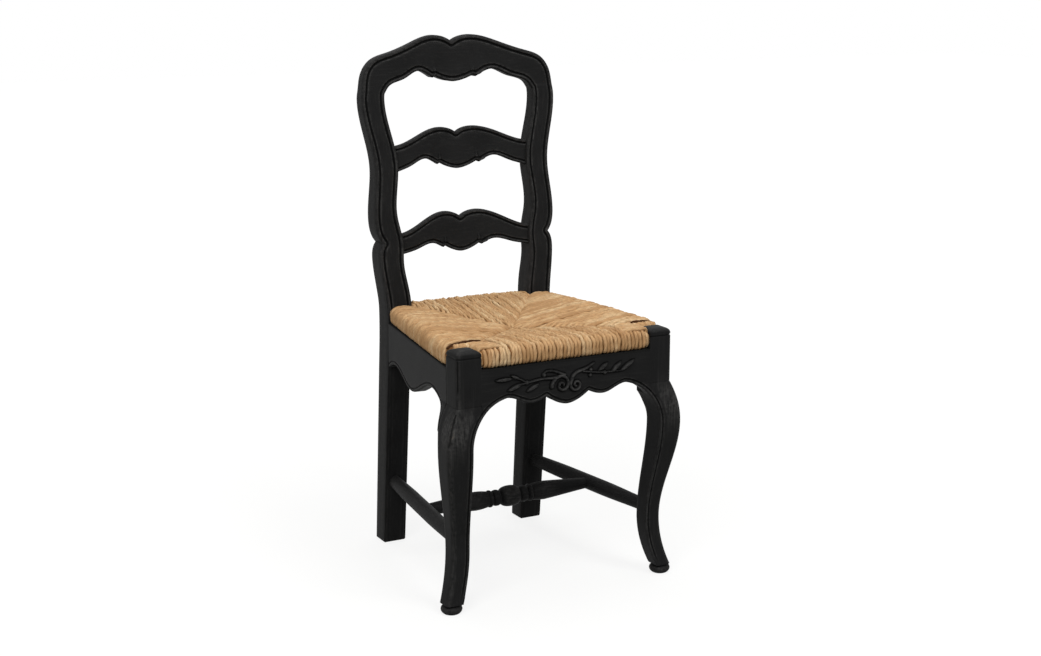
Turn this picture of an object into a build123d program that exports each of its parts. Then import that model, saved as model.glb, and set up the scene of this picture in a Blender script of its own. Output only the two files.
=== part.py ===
from build123d import *
import math
import os

# Ladder-back dining chair in painted wood with a hand-woven rush seat, in millimetres.
# Z is up and the chair faces -Y. It is drawn with y = 0 through the middle of the front leg blocks,
# and at the end it is moved so that the origin lies on the floor under the middle of its outline box.

# Seat frame
seat_height = 440.0          # underside of the rush along the front
seat_rise = 11.0             # how much higher the rush lies at the back posts
seat_depth = 354.0           # from the middle of the leg blocks to the front of the back posts
block_spacing = 387.0        # between the middles of the two front leg blocks
joint_fit = 0.15             # clearance round a tenon in its mortise
shoulder_gap = 0.3           # clearance between the rush and the wood beside it

# Front legs
leg_block = 46.0             # square block at the top of a leg
block_rise = 35.0            # block above the underside of the rush
block_pillow = 7.0           # slope round the top of the block
outer_corner = 6.0           # rounding of the leg's outer front corner
knee_height = 300.0          # where the knee is fullest
brow_rise = 76.0             # from there up to the block
knee_width = 47.6
knee_out = 19.8              # sideways swell of the knee from the block
knee_forward = 7.2
knee_hollow = 86.0           # radius of the hollow between the knee and the aprons
ankle_height = 112.0         # where the leg is slimmest
ankle_width = 33.4
ankle_out = 5.2
ankle_back = 18.4
neck_width = 32.0            # leg just above the foot
foot_height = 17.0
foot_diameter = 39.0
foot_out = 24.0
foot_back = 6.0
foot_sole = 28.0             # flat round under the foot

# Back posts
post_foot_spacing = 306.0    # between the posts' centre lines at the floor
post_width = 46.5
post_thickness = 46.0        # at the seat; the post thins towards the floor and the crest
post_foot_thickness = 39.0
post_bend_height = 450.0     # height at which the post leans back both ways
post_bend_radius = 600.0
leg_splay = 5.6              # backward lean of the rear leg, degrees
back_rake = 5.9              # backward lean of the back, degrees
post_height = 880.0          # joint between post and crest
sway_start = 470.0           # the post is straight up to here
lower_swell = 562.0          # heights and sideways drifts of the serpentine post
lower_swell_drift = 9.5
notch_height = 601.0
notch_drift = 6.0
notch_depth = 4.5            # extra depth of the notch on the outer edge
upper_swell = 652.0
upper_swell_drift = 15.0
waist = 744.0
waist_drift = 8.0
shoulder_height = 862.0
shoulder_drift = 28.0
post_head_drift = 27.0       # drift of the post at the joint with the crest
head_tenon_width = 24.0
head_tenon_thickness = 12.0
head_tenon_length = 20.0

# Crest rail
crest_thickness = 28.0
crest_top_thickness = 14.0   # the back of the crest slopes forward to this at its highest
crest_bow = 27.0             # how far the middle of the crest lies behind its ends
crest_lobe_out = 40.0        # outline of the crest, sideways and above the joint
crest_lobe_rise = 105.0
crest_cleft_rise = 93.0
crest_flank_out = 92.0
crest_flank_rise = 92.0
crest_neck_out = 143.0
crest_neck_rise = 75.0
crest_round_out = 179.5
crest_round_rise = 61.0
crest_shoulder_out = 197.0
crest_shoulder_rise = 36.0
crest_corner_out = 148.0
crest_corner_rise = 12.0
crest_peak_out = 78.0
crest_peak_rise = 39.0
crest_cusp_out = 45.0
crest_cusp_rise = 28.0
crest_drop_rise = 16.5

# Back slats
slat_thickness = 12.0
slat_bow = 22.0
slat_setback = 7.0           # slat ends behind the front of the posts
slat_tenon_thickness = 7.0
slat_tenon_length = 20.0
slat_shoulder = 5.0          # step from the slat's edge to its tenon
upper_slat_height = 757.0    # middle of the slat's ends
upper_slat_end = 49.0
upper_lobe_out = 42.0
upper_lobe_rise = 53.6
upper_cleft_rise = 43.0
upper_peak_out = 72.0
upper_peak_rise = -3.5
upper_cusp_out = 43.0
upper_cusp_rise = -13.0
upper_drop_rise = -26.5
lower_slat_height = 596.5
lower_slat_end = 39.0
lower_lobe_out = 36.0
lower_lobe_rise = 53.2
lower_cleft_rise = 42.0
lower_peak_out = 65.0
lower_peak_rise = -5.0
lower_cusp_out = 40.0
lower_cusp_rise = -12.0
lower_drop_rise = -26.0

# Aprons
apron_thickness = 22.0
apron_tenon_height = 34.0
apron_tenon_thickness = 9.0
apron_tenon_length = 20.0
apron_drop = 80.0            # front middle lobe below the underside of the rush
apron_cusp_out = 43.0
apron_cusp_drop = 61.5
apron_lobe_out = 76.0
apron_lobe_drop = 69.5
apron_arch_out = 120.0
side_lobe_drop = 89.0        # side apron's lobe below the underside of the rush at the front
side_lobe_back = 228.0       # from the middle of the leg blocks
side_arch_back = 311.0
side_arch_drop = 63.0
side_end_drop = 75.0
rear_apron_end = 58.0        # height of the rear apron at the posts
rear_apron_middle = 44.0

# Seat rails inside the rush
rail_width = 24.0
rail_height = 20.0
rail_edge = 6.0
rail_tenon_diameter = 15.0
rail_tenon_length = 17.0
rear_rail_back = 16.5        # from the front of the posts to the middle of the rear rail

# Rush seat
cord_diameter = 6.0
roll_height = 36.0           # rush over the rails, at the edge of the seat
roll_proud = 1.0             # rush in front of the leg blocks
roll_round_top = 14.0
roll_round_under = 8.0
valley_depth = 12.0           # dip to the middle of the seat
valley_inset = 40.0          # from the seat's edge to where the dip starts
valley_floor = 60.0          # small flat in the middle of the seat
stuffing_thickness = 13.0
stuffing_gap = 1.0           # between the stuffing and the rails

# Stretchers
stretcher_height = 126.5
stretcher_middle = 29.0      # diameters
stretcher_end = 24.0
stretcher_swell = 120.0      # length of the full middle
stretcher_tenon_diameter = 15.0
stretcher_tenon_length = 15.0
cross_back = 199.0           # from the middle of the leg blocks to the cross stretcher
cross_end = 20.0             # diameters along the turned cross stretcher
cross_swell = 36.0
cross_arm = 31.0
cross_ring = 33.0
cross_groove = 25.0
cross_bead = 31.0
cross_ball = 40.0
cross_ball_length = 38.0
cross_bead_length = 14.0
cross_ring_length = 8.0
cross_groove_length = 3.0
cross_swell_out = 26.0       # from the ring to where the arm is fullest
cross_tenon_diameter = 11.0
cross_tenon_length = 10.0

# Places that follow from the sizes above
block_x = block_spacing / 2
block_half = leg_block / 2
block_inner_x = block_x - block_half
block_outer_x = block_x + block_half
block_top = seat_height + block_rise
brow_height = knee_height + brow_rise
post_x = post_foot_spacing / 2
post_half = post_width / 2
post_inner_x = post_x - post_half
post_outer_x = post_x + post_half
seat_slope = seat_rise / (seat_depth + block_half)
rail_level = seat_height + cord_diameter + rail_height / 2
lobe_fullness = 0.3          # rise of a hanging lobe half way from its middle to its cusp
reach = 2000.0               # longer than the chair, for blanks that are cut back
root = 6.0                   # length of a tenon's root inside its own piece


def seat_under(y):
    """Height of the underside of the rush, y behind the middle of the leg blocks."""
    return seat_height + seat_slope * (y + block_half)


def post_front(z):
    """The front of a back post at height z: two straight stretches joined by a long arc at the seat."""
    splay = math.radians(leg_splay)
    rake = math.radians(back_rake)
    below = post_bend_height - z - post_bend_radius * math.sin(splay)
    above = z - post_bend_height - post_bend_radius * math.sin(rake)
    if below > 0:
        return seat_depth + post_bend_radius * (1 - math.cos(splay)) + below * math.tan(splay)
    if above > 0:
        return seat_depth + post_bend_radius * (1 - math.cos(rake)) + above * math.tan(rake)
    return seat_depth + post_bend_radius - math.sqrt(post_bend_radius**2 - (z - post_bend_height) ** 2)


def mirrored(piece):
    """The left-hand copy of a right-hand piece."""
    return mirror(piece, about=Plane.YZ)


def both_halves(edges):
    """Right-hand outline edges together with their mirror images about the middle of the chair."""
    return [*edges, *[mirror(edge, about=Plane.YZ) for edge in edges]]


def tenon(place, length, width, height, fit=0.0):
    """A square tenon along the place's X axis, or with a fit the mortise that takes it."""
    seat = (Align.MIN, Align.CENTER, Align.CENTER)
    return place * Pos(-root, 0, 0) * Box(root + length + fit, width + 2 * fit, height + 2 * fit, align=seat)


def round_tenon(place, length, diameter, fit=0.0):
    """A round tenon along the place's Z axis, or with a fit the mortise that takes it."""
    rod = Cylinder(diameter / 2 + fit, root + length + fit, align=(Align.CENTER, Align.CENTER, Align.MIN))
    return place * Pos(0, 0, -root) * rod


# Front legs

def ease(t):
    return t * t * (3 - 2 * t)


def leg_sides(z):
    """Outer, inner, front and rear side of the right-hand leg at height z, from the block's middle."""
    if z <= ankle_height:
        t = ((ankle_height - z) / (ankle_height - foot_height)) ** 2
        out = ankle_out + (foot_out - ankle_out) * t
        back = ankle_back + (foot_back - ankle_back) * t
        half = (ankle_width + (neck_width - ankle_width) * t) / 2
        return out + half, out - half, back - half, back + half
    if z <= knee_height:
        t = ease((z - ankle_height) / (knee_height - ankle_height))
        out = ankle_out + (knee_out - ankle_out) * t
        back = ankle_back - (ankle_back + knee_forward) * t
        half = (ankle_width + (knee_width - ankle_width) * t) / 2
        return out + half, out - half, back - half, back + half
    t = ((z - knee_height) / (brow_height - knee_height)) ** 2
    half = knee_width / 2
    outer = (knee_out + half) * (1 - t) + block_half * t
    front = (-knee_forward - half) * (1 - t) - block_half * t
    climb = min(z - knee_height, knee_hollow)
    hollow = knee_hollow - math.sqrt(knee_hollow**2 - climb**2)
    inner = max(knee_out - half - hollow, -block_half)
    rear = min(half - knee_forward + hollow, block_half)
    return outer, inner, front, rear


def leg_section(z, inset=0.0):
    """Outline of the leg at height z, drawn in by an inset: a square whose outer front corner is rounded."""
    outer, inner, front, rear = leg_sides(min(z, brow_height))
    outer, inner, front, rear = outer - inset, inner + inset, front + inset, rear - inset
    radius = min(outer_corner, 0.45 * min(outer - inner, rear - front))
    bulge = radius * (1 - math.sqrt(0.5))
    edges = [
        ThreePointArc((outer - radius, front), (outer - bulge, front + bulge), (outer, front + radius)),
        Line((outer, front + radius), (outer, rear)),
        Line((outer, rear), (inner, rear)),
        Line((inner, rear), (inner, front)),
        Line((inner, front), (outer - radius, front)),
    ]
    return Pos(0, 0, z) * make_face(edges)


def spread(low, high, count):
    """Heights from low to high in equal steps."""
    return [low + (high - low) * index / count for index in range(count + 1)]


def front_leg():
    """Right-hand cabriole leg with its block and foot, about the block's middle."""
    shin = loft([leg_section(z) for z in spread(foot_height, ankle_height, 3)])
    calf = loft([leg_section(z) for z in spread(ankle_height, knee_height, 4)])
    knee = loft([leg_section(z) for z in spread(knee_height, brow_height, 5)])
    block = extrude(leg_section(brow_height), block_top - block_pillow - brow_height, dir=(0, 0, 1))
    pillow = loft([leg_section(block_top - block_pillow), leg_section(block_top, block_pillow)])
    sole = foot_sole / 2
    pad = foot_diameter / 2
    neck = neck_width * 0.45
    profile = [
        Line((0, 0), (sole, 0)),
        ThreePointArc((sole, 0), (pad, foot_height * 0.45), (neck, foot_height * 0.92)),
        Line((neck, foot_height * 0.92), (neck, foot_height + 1)),
        Line((neck, foot_height + 1), (0, foot_height + 1)),
        Line((0, foot_height + 1), (0, 0)),
    ]
    foot = revolve(make_face([Plane.XZ * edge for edge in profile]), Axis.Z)
    return Pos(block_x, 0, 0) * (shin + calf + knee + block + pillow + Pos(foot_out, foot_back, 0) * foot)


# Back posts

def post_edge_points(side):
    """Points of a post's inner (side -1) or outer (side 1) edge, above where it starts to sway."""
    stations = [
        (sway_start, 0.0),
        (lower_swell, lower_swell_drift),
        (notch_height, notch_drift),
        (upper_swell, upper_swell_drift),
        (waist, waist_drift),
        (shoulder_height, shoulder_drift),
        (post_height, post_head_drift),
    ]
    return [(post_x + drift + side * post_half, z) for z, drift in stations]


def post_outline():
    """Front view of the right-hand post."""
    inner = post_edge_points(-1)
    outer = post_edge_points(1)
    notch_x, notch_z = outer[2]
    notch = (notch_x - notch_depth, notch_z)
    upward = (0, 1)
    head_lean = (-0.2, 1)
    return [
        Line((post_inner_x, 0), (post_outer_x, 0)),
        Line((post_outer_x, 0), outer[0]),
        Spline(outer[0], outer[1], notch, tangents=[upward, (-1, 1)]),
        Spline(notch, *outer[3:], tangents=[(1, 1), head_lean]),
        Line(outer[-1], inner[-1]),
        Spline(*reversed(inner), tangents=[(0.2, -1), (0, -1)]),
        Line(inner[0], (post_inner_x, 0)),
    ]


def post_side():
    """Side view of a post: straight leg and thinning back with a long bend between them at the seat."""
    bend_low = post_bend_height - post_bend_radius * math.sin(math.radians(leg_splay))
    bend_high = post_bend_height + post_bend_radius * math.sin(math.radians(back_rake))
    low = (post_front(bend_low), bend_low)
    high = (post_front(bend_high), bend_high)
    front = [
        Line((post_front(0), 0), low),
        ThreePointArc(low, (seat_depth, post_bend_height), high),
        Line(high, (post_front(post_height), post_height)),
    ]
    bend = Pos(post_thickness, 0, 0) * front[1]
    foot = (post_front(0) + post_foot_thickness, 0)
    head = (post_front(post_height) + crest_thickness, post_height)
    rear = [Line(foot, bend @ 0), bend, Line(bend @ 1, head)]
    return [*front, *rear, Line(front[0] @ 0, foot), Line(front[-1] @ 1, head)]


def back_post():
    """Right-hand post, with no joints cut."""
    face = make_face([Plane.XZ * edge for edge in post_outline()])
    side = make_face([Plane.YZ * edge for edge in post_side()])
    return extrude(face, reach, both=True) & extrude(side, reach, dir=(1, 0, 0))


def head_tenon(fit=0.0):
    """Tenon on the head of the right-hand post, or its mortise in the crest."""
    x = post_x + post_head_drift
    y = post_front(post_height) + crest_thickness / 2
    place = Plane(origin=(x, y, post_height), x_dir=(0, 0, 1), z_dir=(1, 0, 0))
    return tenon(place.location, head_tenon_length, head_tenon_thickness, head_tenon_width, fit)


# Crest and slats

def bowed_plate(front_y, base, bow, flat_from, end, thickness, lean=math.tan(math.radians(back_rake))):
    """Plate that bows backwards between its ends and leans with the back, drawn up from a base height."""
    top = base + reach
    front = [
        Line((flat_from, front_y), (end, front_y)),
        Spline((0, front_y + bow), (flat_from, front_y), tangents=[(1, 0), (1, 0)]),
    ]
    rear = [Pos(0, thickness, 0) * edge for edge in front]
    cap = Line((end, front_y), (end, front_y + thickness))
    face = make_face(both_halves([*front, *rear, cap]))
    return extrude(Pos(0, 0, base) * face, top - base, dir=(0, lean, 1))


def half_way(start, end):
    return ((start[0] + end[0]) / 2, (start[1] + end[1]) / 2)


def drop_lobe(cusp, drop):
    """Half of the rounded lobe that hangs between two cusps, down to a drop in the middle."""
    x, z = cusp
    return ThreePointArc(cusp, (x / 2, drop + lobe_fullness * (z - drop)), (0, drop))


def crest_rail():
    """Crest with its two lobes, round shoulders and dropped middle, with no joints cut."""
    joint_outer = post_x + post_head_drift + post_half
    joint_inner = post_x + post_head_drift - post_half
    z = post_height
    cusp = (crest_cusp_out, z + crest_cusp_rise)
    corner = (crest_corner_out, z + crest_corner_rise)
    peak = (crest_peak_out, z + crest_peak_rise)
    half = [
        Spline(
            (0, z + crest_cleft_rise),
            (crest_lobe_out, z + crest_lobe_rise),
            (crest_flank_out, z + crest_flank_rise),
            (crest_neck_out, z + crest_neck_rise),
            (crest_round_out, z + crest_round_rise),
            (crest_shoulder_out, z + crest_shoulder_rise),
            (joint_outer, z),
            tangents=[(1, 0.6), (0.2, -1)],
        ),
        Line((joint_outer, z), (joint_inner, z)),
        Spline(
            (joint_inner, z),
            corner,
            half_way(corner, peak),
            peak,
            cusp,
            tangents=[(-0.2, 1), (-1, -0.4)],
        ),
        drop_lobe(cusp, z + crest_drop_rise),
    ]
    face = make_face([Plane.XZ * edge for edge in both_halves(half)])
    front_y = post_front(z)
    plate = bowed_plate(front_y, z, crest_bow, joint_inner, reach, crest_thickness)
    rake = math.tan(math.radians(back_rake))
    rear_lean = rake - (crest_thickness - crest_top_thickness) / crest_lobe_rise
    blank = post_thickness + crest_thickness
    blank_front = front_y - post_thickness
    sloped = bowed_plate(blank_front, z, crest_bow, joint_inner, reach, blank, rear_lean)
    return extrude(face, reach, both=True) & plate & sloped


def slat(level, end, cleft, drop, lobe, peak, cusp):
    """Bowed back slat with two lobes over a dropped middle, long enough to run into the posts."""
    half_length = post_x + post_half
    top = level + end / 2
    bottom = level - end / 2
    lobe_out, lobe_rise = lobe
    peak_out, peak_rise = peak
    cusp_out, cusp_rise = cusp
    cusp_point = (cusp_out, level + cusp_rise)
    shoulder = post_inner_x + waist_drift
    lobe_point = (lobe_out, level + lobe_rise)
    peak_point = (peak_out, level + peak_rise)
    half = [
        Spline((0, level + cleft), lobe_point, (shoulder, top), tangents=[(1, 0.7), (1, -0.15)]),
        Line((shoulder, top), (half_length, top)),
        Line((half_length, top), (half_length, bottom)),
        Line((half_length, bottom), (shoulder, bottom)),
        Spline(
            (shoulder, bottom),
            half_way((shoulder, bottom), peak_point),
            peak_point,
            cusp_point,
            tangents=[(-1, 0.15), (-1, -0.5)],
        ),
        drop_lobe(cusp_point, level + drop),
    ]
    face = make_face([Plane.XZ * edge for edge in both_halves(half)])
    base = bottom - reach / 4
    lean = math.tan(math.radians(back_rake))
    front_y = post_front(level) + slat_setback - (level - base) * lean
    plate = bowed_plate(front_y, base, slat_bow, shoulder, reach, slat_thickness)
    return extrude(face, reach, both=True) & plate


def slat_tenon(level, end, fit=0.0):
    """Tenon at the right-hand end of a slat, or its mortise in the post."""
    drift = waist_drift if level > upper_swell else notch_drift
    y = post_front(level) + slat_setback + slat_thickness / 2
    place = Pos(post_inner_x + drift, y, level)
    return tenon(place, slat_tenon_length, slat_tenon_thickness, end - 2 * slat_shoulder, fit)


# Aprons

def apron_hollow_top(offset):
    """Height of the hollow between knee and apron, offset inwards from the knee's inner face."""
    return knee_height + math.sqrt(knee_hollow**2 - (knee_hollow - offset) ** 2)


def front_apron():
    """Shaped board between the front legs, its lower edge flowing into the knees."""
    top = seat_height - shoulder_gap
    knee_inner = block_x + knee_out - knee_width / 2
    arch = (apron_arch_out, apron_hollow_top(knee_inner - apron_arch_out))
    ear_x = block_inner_x - root
    ear = (ear_x, apron_hollow_top(knee_inner - ear_x))
    ear_end = (block_inner_x, apron_hollow_top(knee_inner - block_inner_x))
    cusp = (apron_cusp_out, seat_height - apron_cusp_drop)
    lobe = (apron_lobe_out, seat_height - apron_lobe_drop)
    drop = seat_height - apron_drop
    half = [
        drop_lobe(cusp, drop),
        Spline(cusp, lobe, arch, tangents=[(1, -0.5), (1, 0)]),
        ThreePointArc(arch, ear, ear_end),
        Line(ear_end, (block_inner_x, top)),
        Line((block_inner_x, top), (0, top)),
    ]
    face = make_face([Plane.XZ * edge for edge in both_halves(half)])
    return Pos(0, -block_half, 0) * extrude(face, apron_thickness, dir=(0, 1, 0))


def side_plane():
    """Upright plane of the right-hand side apron's outer face, X running back along the apron."""
    along = Vector(post_outer_x - block_outer_x, seat_depth - block_half, 0)
    outward = Vector(along.Y, -along.X, 0)
    return Plane(origin=(block_outer_x, block_half, 0), x_dir=along, z_dir=outward)


def side_apron():
    """Right-hand side apron, long enough to run into the leg block and the post."""
    stretch = math.hypot(post_outer_x - block_outer_x, seat_depth - block_half) / (seat_depth - block_half)
    rear_knee = knee_width / 2 - knee_forward

    def at(y, z):
        return ((y - block_half) * stretch, z)

    arch_y = rear_knee + knee_hollow
    front_y = 0.0
    rear_y = seat_depth + post_thickness / 2
    ear_low = apron_hollow_top(block_half - rear_knee)
    ear_y = block_half + root
    ear = at(ear_y, apron_hollow_top(ear_y - rear_knee))
    front_arch = at(arch_y, knee_height + knee_hollow)
    lobe = at(side_lobe_back, seat_height - side_lobe_drop)
    rear_arch = at(side_arch_back, seat_height - side_arch_drop)
    rear_end = at(seat_depth, seat_height - side_end_drop)
    edges = [
        Line(at(front_y, seat_under(front_y) - shoulder_gap), at(rear_y, seat_under(rear_y) - shoulder_gap)),
        Line(at(rear_y, seat_under(rear_y) - shoulder_gap), at(rear_y, rear_end[1])),
        Line(at(rear_y, rear_end[1]), rear_end),
        Spline(rear_end, rear_arch, lobe, front_arch, tangents=[(-1, 0.8), (-1, 0)]),
        ThreePointArc(front_arch, ear, at(block_half, ear_low)),
        Line(at(block_half, ear_low), at(front_y, ear_low)),
        Line(at(front_y, ear_low), at(front_y, seat_under(front_y) - shoulder_gap)),
    ]
    plane = side_plane()
    face = make_face([plane * edge for edge in edges])
    return extrude(face, apron_thickness, dir=plane.z_dir * -1)


def rear_apron():
    """Plain board between the back posts, its lower edge a shallow arch."""
    middle_y = seat_depth + post_thickness / 2
    top = seat_under(middle_y - apron_thickness / 2) - shoulder_gap
    end = post_x
    foot = top - rear_apron_end
    edges = [
        Line((-end, top), (end, top)),
        Line((end, top), (end, foot)),
        Line((end, foot), (post_inner_x, foot)),
        ThreePointArc((post_inner_x, foot), (0, top - rear_apron_middle), (-post_inner_x, foot)),
        Line((-post_inner_x, foot), (-end, foot)),
        Line((-end, foot), (-end, top)),
    ]
    face = make_face([Plane.XZ * edge for edge in edges])
    return Pos(0, middle_y - apron_thickness / 2, 0) * extrude(face, apron_thickness, dir=(0, 1, 0))


def front_apron_tenon(fit=0.0):
    y = apron_thickness / 2 - block_half
    place = Pos(block_inner_x, y, seat_height - shoulder_gap - apron_tenon_height / 2 - root)
    return tenon(place, apron_tenon_length, apron_tenon_thickness, apron_tenon_height, fit)


def side_apron_tenons(fit=0.0):
    """Front and rear tenons of the right-hand side apron, or their mortises."""
    plane = side_plane()
    inset = apron_thickness / 2
    length = math.hypot(post_outer_x - block_outer_x, seat_depth - block_half)
    height = apron_tenon_height
    level = seat_height - apron_tenon_height / 2 - root
    front = plane * Location((0, level, -inset), (0, 180, 0))
    front_peg = tenon(front * Rot(90, 0, 0), apron_tenon_length, apron_tenon_thickness, height, fit)
    rear = plane * Location((length, level, -inset))
    rear_peg = tenon(rear * Rot(90, 0, 0), apron_tenon_length, apron_tenon_thickness, height, fit)
    return front_peg, rear_peg


def rear_apron_tenon(fit=0.0):
    middle_y = seat_depth + post_thickness / 2
    level = seat_under(middle_y) - shoulder_gap - apron_tenon_height / 2 - 2 * root
    place = Pos(post_inner_x, middle_y, level)
    return tenon(place, apron_tenon_length, apron_tenon_thickness, apron_tenon_height, fit)


# Seat rails

def rail_between(start, end):
    """Round-edged rail from point to point, its width level and its height upright."""
    axis = Plane(origin=start, x_dir=(0, 0, 1), z_dir=Vector(*end) - Vector(*start))
    length = (Vector(*end) - Vector(*start)).length
    return axis, length


def rail_bar(start, end, grow=0.0):
    axis, length = rail_between(start, end)
    section = RectangleRounded(rail_height + 2 * grow, rail_width + 2 * grow, rail_edge)
    return extrude(axis * section, length)


def rail_level_at(y):
    return rail_level + seat_slope * (y + block_half)


rail_inset = cord_diameter + rail_width / 2
front_rail_y = -block_half - roll_proud + rail_inset
rear_rail_y = seat_depth + rear_rail_back
front_rail_ends = [(sign * block_inner_x, front_rail_y, rail_level_at(front_rail_y)) for sign in (1, -1)]
rear_rail_ends = [(sign * post_inner_x, rear_rail_y, rail_level_at(rear_rail_y)) for sign in (1, -1)]
side_rail_front = (block_outer_x - rail_inset, block_half, rail_level_at(block_half))
side_rail_rear = (post_outer_x - rail_inset, seat_depth, rail_level_at(seat_depth))


def side_rail_line(y):
    """Point on the right-hand side rail's centre line."""
    t = (y - block_half) / (seat_depth - block_half)
    return tuple(a + (b - a) * t for a, b in zip(side_rail_front, side_rail_rear))


def rail_tenon(start, end, fit=0.0):
    """Round tenon that leaves a rail's end, away from its other end."""
    axis = Plane(origin=start, z_dir=Vector(*start) - Vector(*end))
    return round_tenon(axis.location, rail_tenon_length, rail_tenon_diameter, fit)


# Rush seat

def seat_side(y, inset=0.0):
    """Half-width of the rush at depth y."""
    t = (y - block_half) / (seat_depth - block_half)
    return block_outer_x + (post_outer_x - block_outer_x) * t - inset


def seat_plan(inset):
    """Four-sided plan of the seat, drawn in from its edge."""
    front = -block_half - roll_proud + inset
    rear = rear_rail_y + rail_inset - inset
    corners = [(seat_side(front, inset), front), (seat_side(rear, inset), rear)]
    corners += [(-seat_side(rear, inset), rear), (-seat_side(front, inset), front)]
    return make_face(Polyline(*corners, close=True))


def tilted(piece):
    """A piece of the seat turned from level to the slope of the rush."""
    pivot = Pos(0, -block_half, seat_height)
    return pivot * Rot(math.degrees(math.atan(seat_slope)), 0, 0) * pivot.inverse() * piece


def rush_blank():
    """Rush seat before its corners are notched: rolled edges and four panels that dip to the middle."""
    slab = extrude(Pos(0, 0, seat_height) * seat_plan(0), roll_height, dir=(0, 0, 1))
    slab = fillet(slab.edges().group_by(Axis.Z)[-1], roll_round_top)
    slab = fillet(slab.edges().group_by(Axis.Z)[0], roll_round_under)
    middle = (seat_depth + front_rail_y) / 2
    rim = Pos(0, 0, seat_height + roll_height) * seat_plan(valley_inset)
    floor = Pos(0, middle, seat_height + roll_height - valley_depth) * Rectangle(valley_floor, valley_floor)
    return tilted(slab - loft([floor, rim]))


def pad(inset, clearance):
    """Flat pad between the rails, drawn in from the seat's edge, with a clearance above and below."""
    base = seat_height + cord_diameter + shoulder_gap - clearance
    thickness = stuffing_thickness + 2 * clearance
    return tilted(extrude(Pos(0, 0, base) * seat_plan(inset), thickness, dir=(0, 0, 1)))


# Stretchers

def stretcher_ends():
    """Axis points of the right-hand side stretcher, in the leg and in the post."""
    outer, inner, front, rear = leg_sides(stretcher_height)
    start = (block_x + (outer + inner) / 2, (front + rear) / 2, stretcher_height)
    end = (post_x, post_front(stretcher_height) + post_thickness / 2, stretcher_height)
    return Vector(*start), Vector(*end)


def side_stretcher():
    """Right-hand stretcher, fullest in the middle, running into the leg and the post."""
    start, end = stretcher_ends()
    length = (end - start).length
    thin = stretcher_end / 2
    thick = stretcher_middle / 2
    swell_low = (length - stretcher_swell) / 2
    swell_high = (length + stretcher_swell) / 2
    outline = Polyline(
        (0, 0), (thin, 0), (thick, swell_low), (thick, swell_high), (thin, length), (0, length), close=True
    )
    bar = revolve(make_face(Plane.XZ * outline), Axis.Z)
    return Plane(origin=start, z_dir=end - start).location * bar


def side_stretcher_tenons(fit=0.0):
    """Round tenons from the leg's rear face and the post's front face."""
    start, end = stretcher_ends()
    along = (end - start).normalized()
    outer, inner, front, rear = leg_sides(stretcher_height)
    leg_face = start + along * ((rear - front) / 2)
    post_face = end - along * (post_thickness / 2)
    front_peg = round_tenon(Plane(origin=leg_face, z_dir=along * -1).location, stretcher_tenon_length,
                            stretcher_tenon_diameter, fit)
    rear_peg = round_tenon(Plane(origin=post_face, z_dir=along).location, stretcher_tenon_length,
                           stretcher_tenon_diameter, fit)
    return front_peg, rear_peg


def cross_half_length():
    """From the middle of the chair to the side stretcher's axis at the cross stretcher."""
    start, end = stretcher_ends()
    t = (cross_back - start.Y) / (end.Y - start.Y)
    return start.X + (end.X - start.X) * t


def cross_stretcher():
    """Turned stretcher: a ball in the middle, then bead, ring and a long tapered arm each way."""
    half = cross_half_length()
    ball = cross_ball_length / 2
    bead_start = ball + cross_groove_length
    bead_end = bead_start + cross_bead_length
    ring_start = bead_end + cross_groove_length
    ring_end = ring_start + cross_ring_length
    groove = cross_groove / 2
    bead_middle = (bead_start + bead_end) / 2
    ring_middle = (ring_start + ring_end) / 2
    arm = cross_arm / 2
    ball_middle = 0.6
    ball_rise = 0.72 * (cross_ball / 2 - groove)
    right = [
        ThreePointArc((0, cross_ball / 2), (ball * ball_middle, groove + ball_rise), (ball, groove)),
        Line((ball, groove), (bead_start, groove)),
        ThreePointArc((bead_start, groove), (bead_middle, cross_bead / 2), (bead_end, groove)),
        Line((bead_end, groove), (ring_start, groove)),
        ThreePointArc((ring_start, groove), (ring_middle, cross_ring / 2), (ring_end, arm)),
        Line((ring_end, arm), (ring_end + cross_swell_out, cross_swell / 2)),
        Line((ring_end + cross_swell_out, cross_swell / 2), (half, cross_end / 2)),
        Line((half, cross_end / 2), (half, 0)),
        Line((half, 0), (0, 0)),
    ]
    face = make_face([Plane.XZ * edge for edge in both_halves(right)])
    return Pos(0, cross_back, stretcher_height) * revolve(face, Axis.X)


def cross_tenon(fit=0.0):
    face = cross_half_length() - stretcher_middle / 2
    place = Plane(origin=(face, cross_back, stretcher_height), z_dir=(1, 0, 0))
    return round_tenon(place.location, cross_tenon_length, cross_tenon_diameter, fit)


# Blanks that are cut back to their shoulders, then given tenons and mortises

leg = front_leg()
post = back_post()
legs = leg + mirrored(leg)
posts = post + mirrored(post)
upper_slat = slat(
    upper_slat_height, upper_slat_end, upper_cleft_rise, upper_drop_rise, (upper_lobe_out, upper_lobe_rise),
    (upper_peak_out, upper_peak_rise), (upper_cusp_out, upper_cusp_rise)
)
lower_slat = slat(
    lower_slat_height, lower_slat_end, lower_cleft_rise, lower_drop_rise, (lower_lobe_out, lower_lobe_rise),
    (lower_peak_out, lower_peak_rise), (lower_cusp_out, lower_cusp_rise)
)
stretcher = side_stretcher()
stretchers = stretcher + mirrored(stretcher)


def with_both(body, peg):
    """A piece across the chair with the same tenon at each end."""
    return body + peg + mirrored(peg)


def without_both(body, hole):
    """A piece across the chair with the same mortise at each end."""
    return body - hole - mirrored(hole)


def cut_leg():
    """Right-hand leg with its mortises."""
    body = leg - front_apron_tenon(joint_fit) - side_apron_tenons(joint_fit)[0]
    body -= rail_tenon(*front_rail_ends, joint_fit)
    body -= rail_tenon(side_rail_front, side_rail_rear, joint_fit)
    return body - side_stretcher_tenons(joint_fit)[0]


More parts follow.
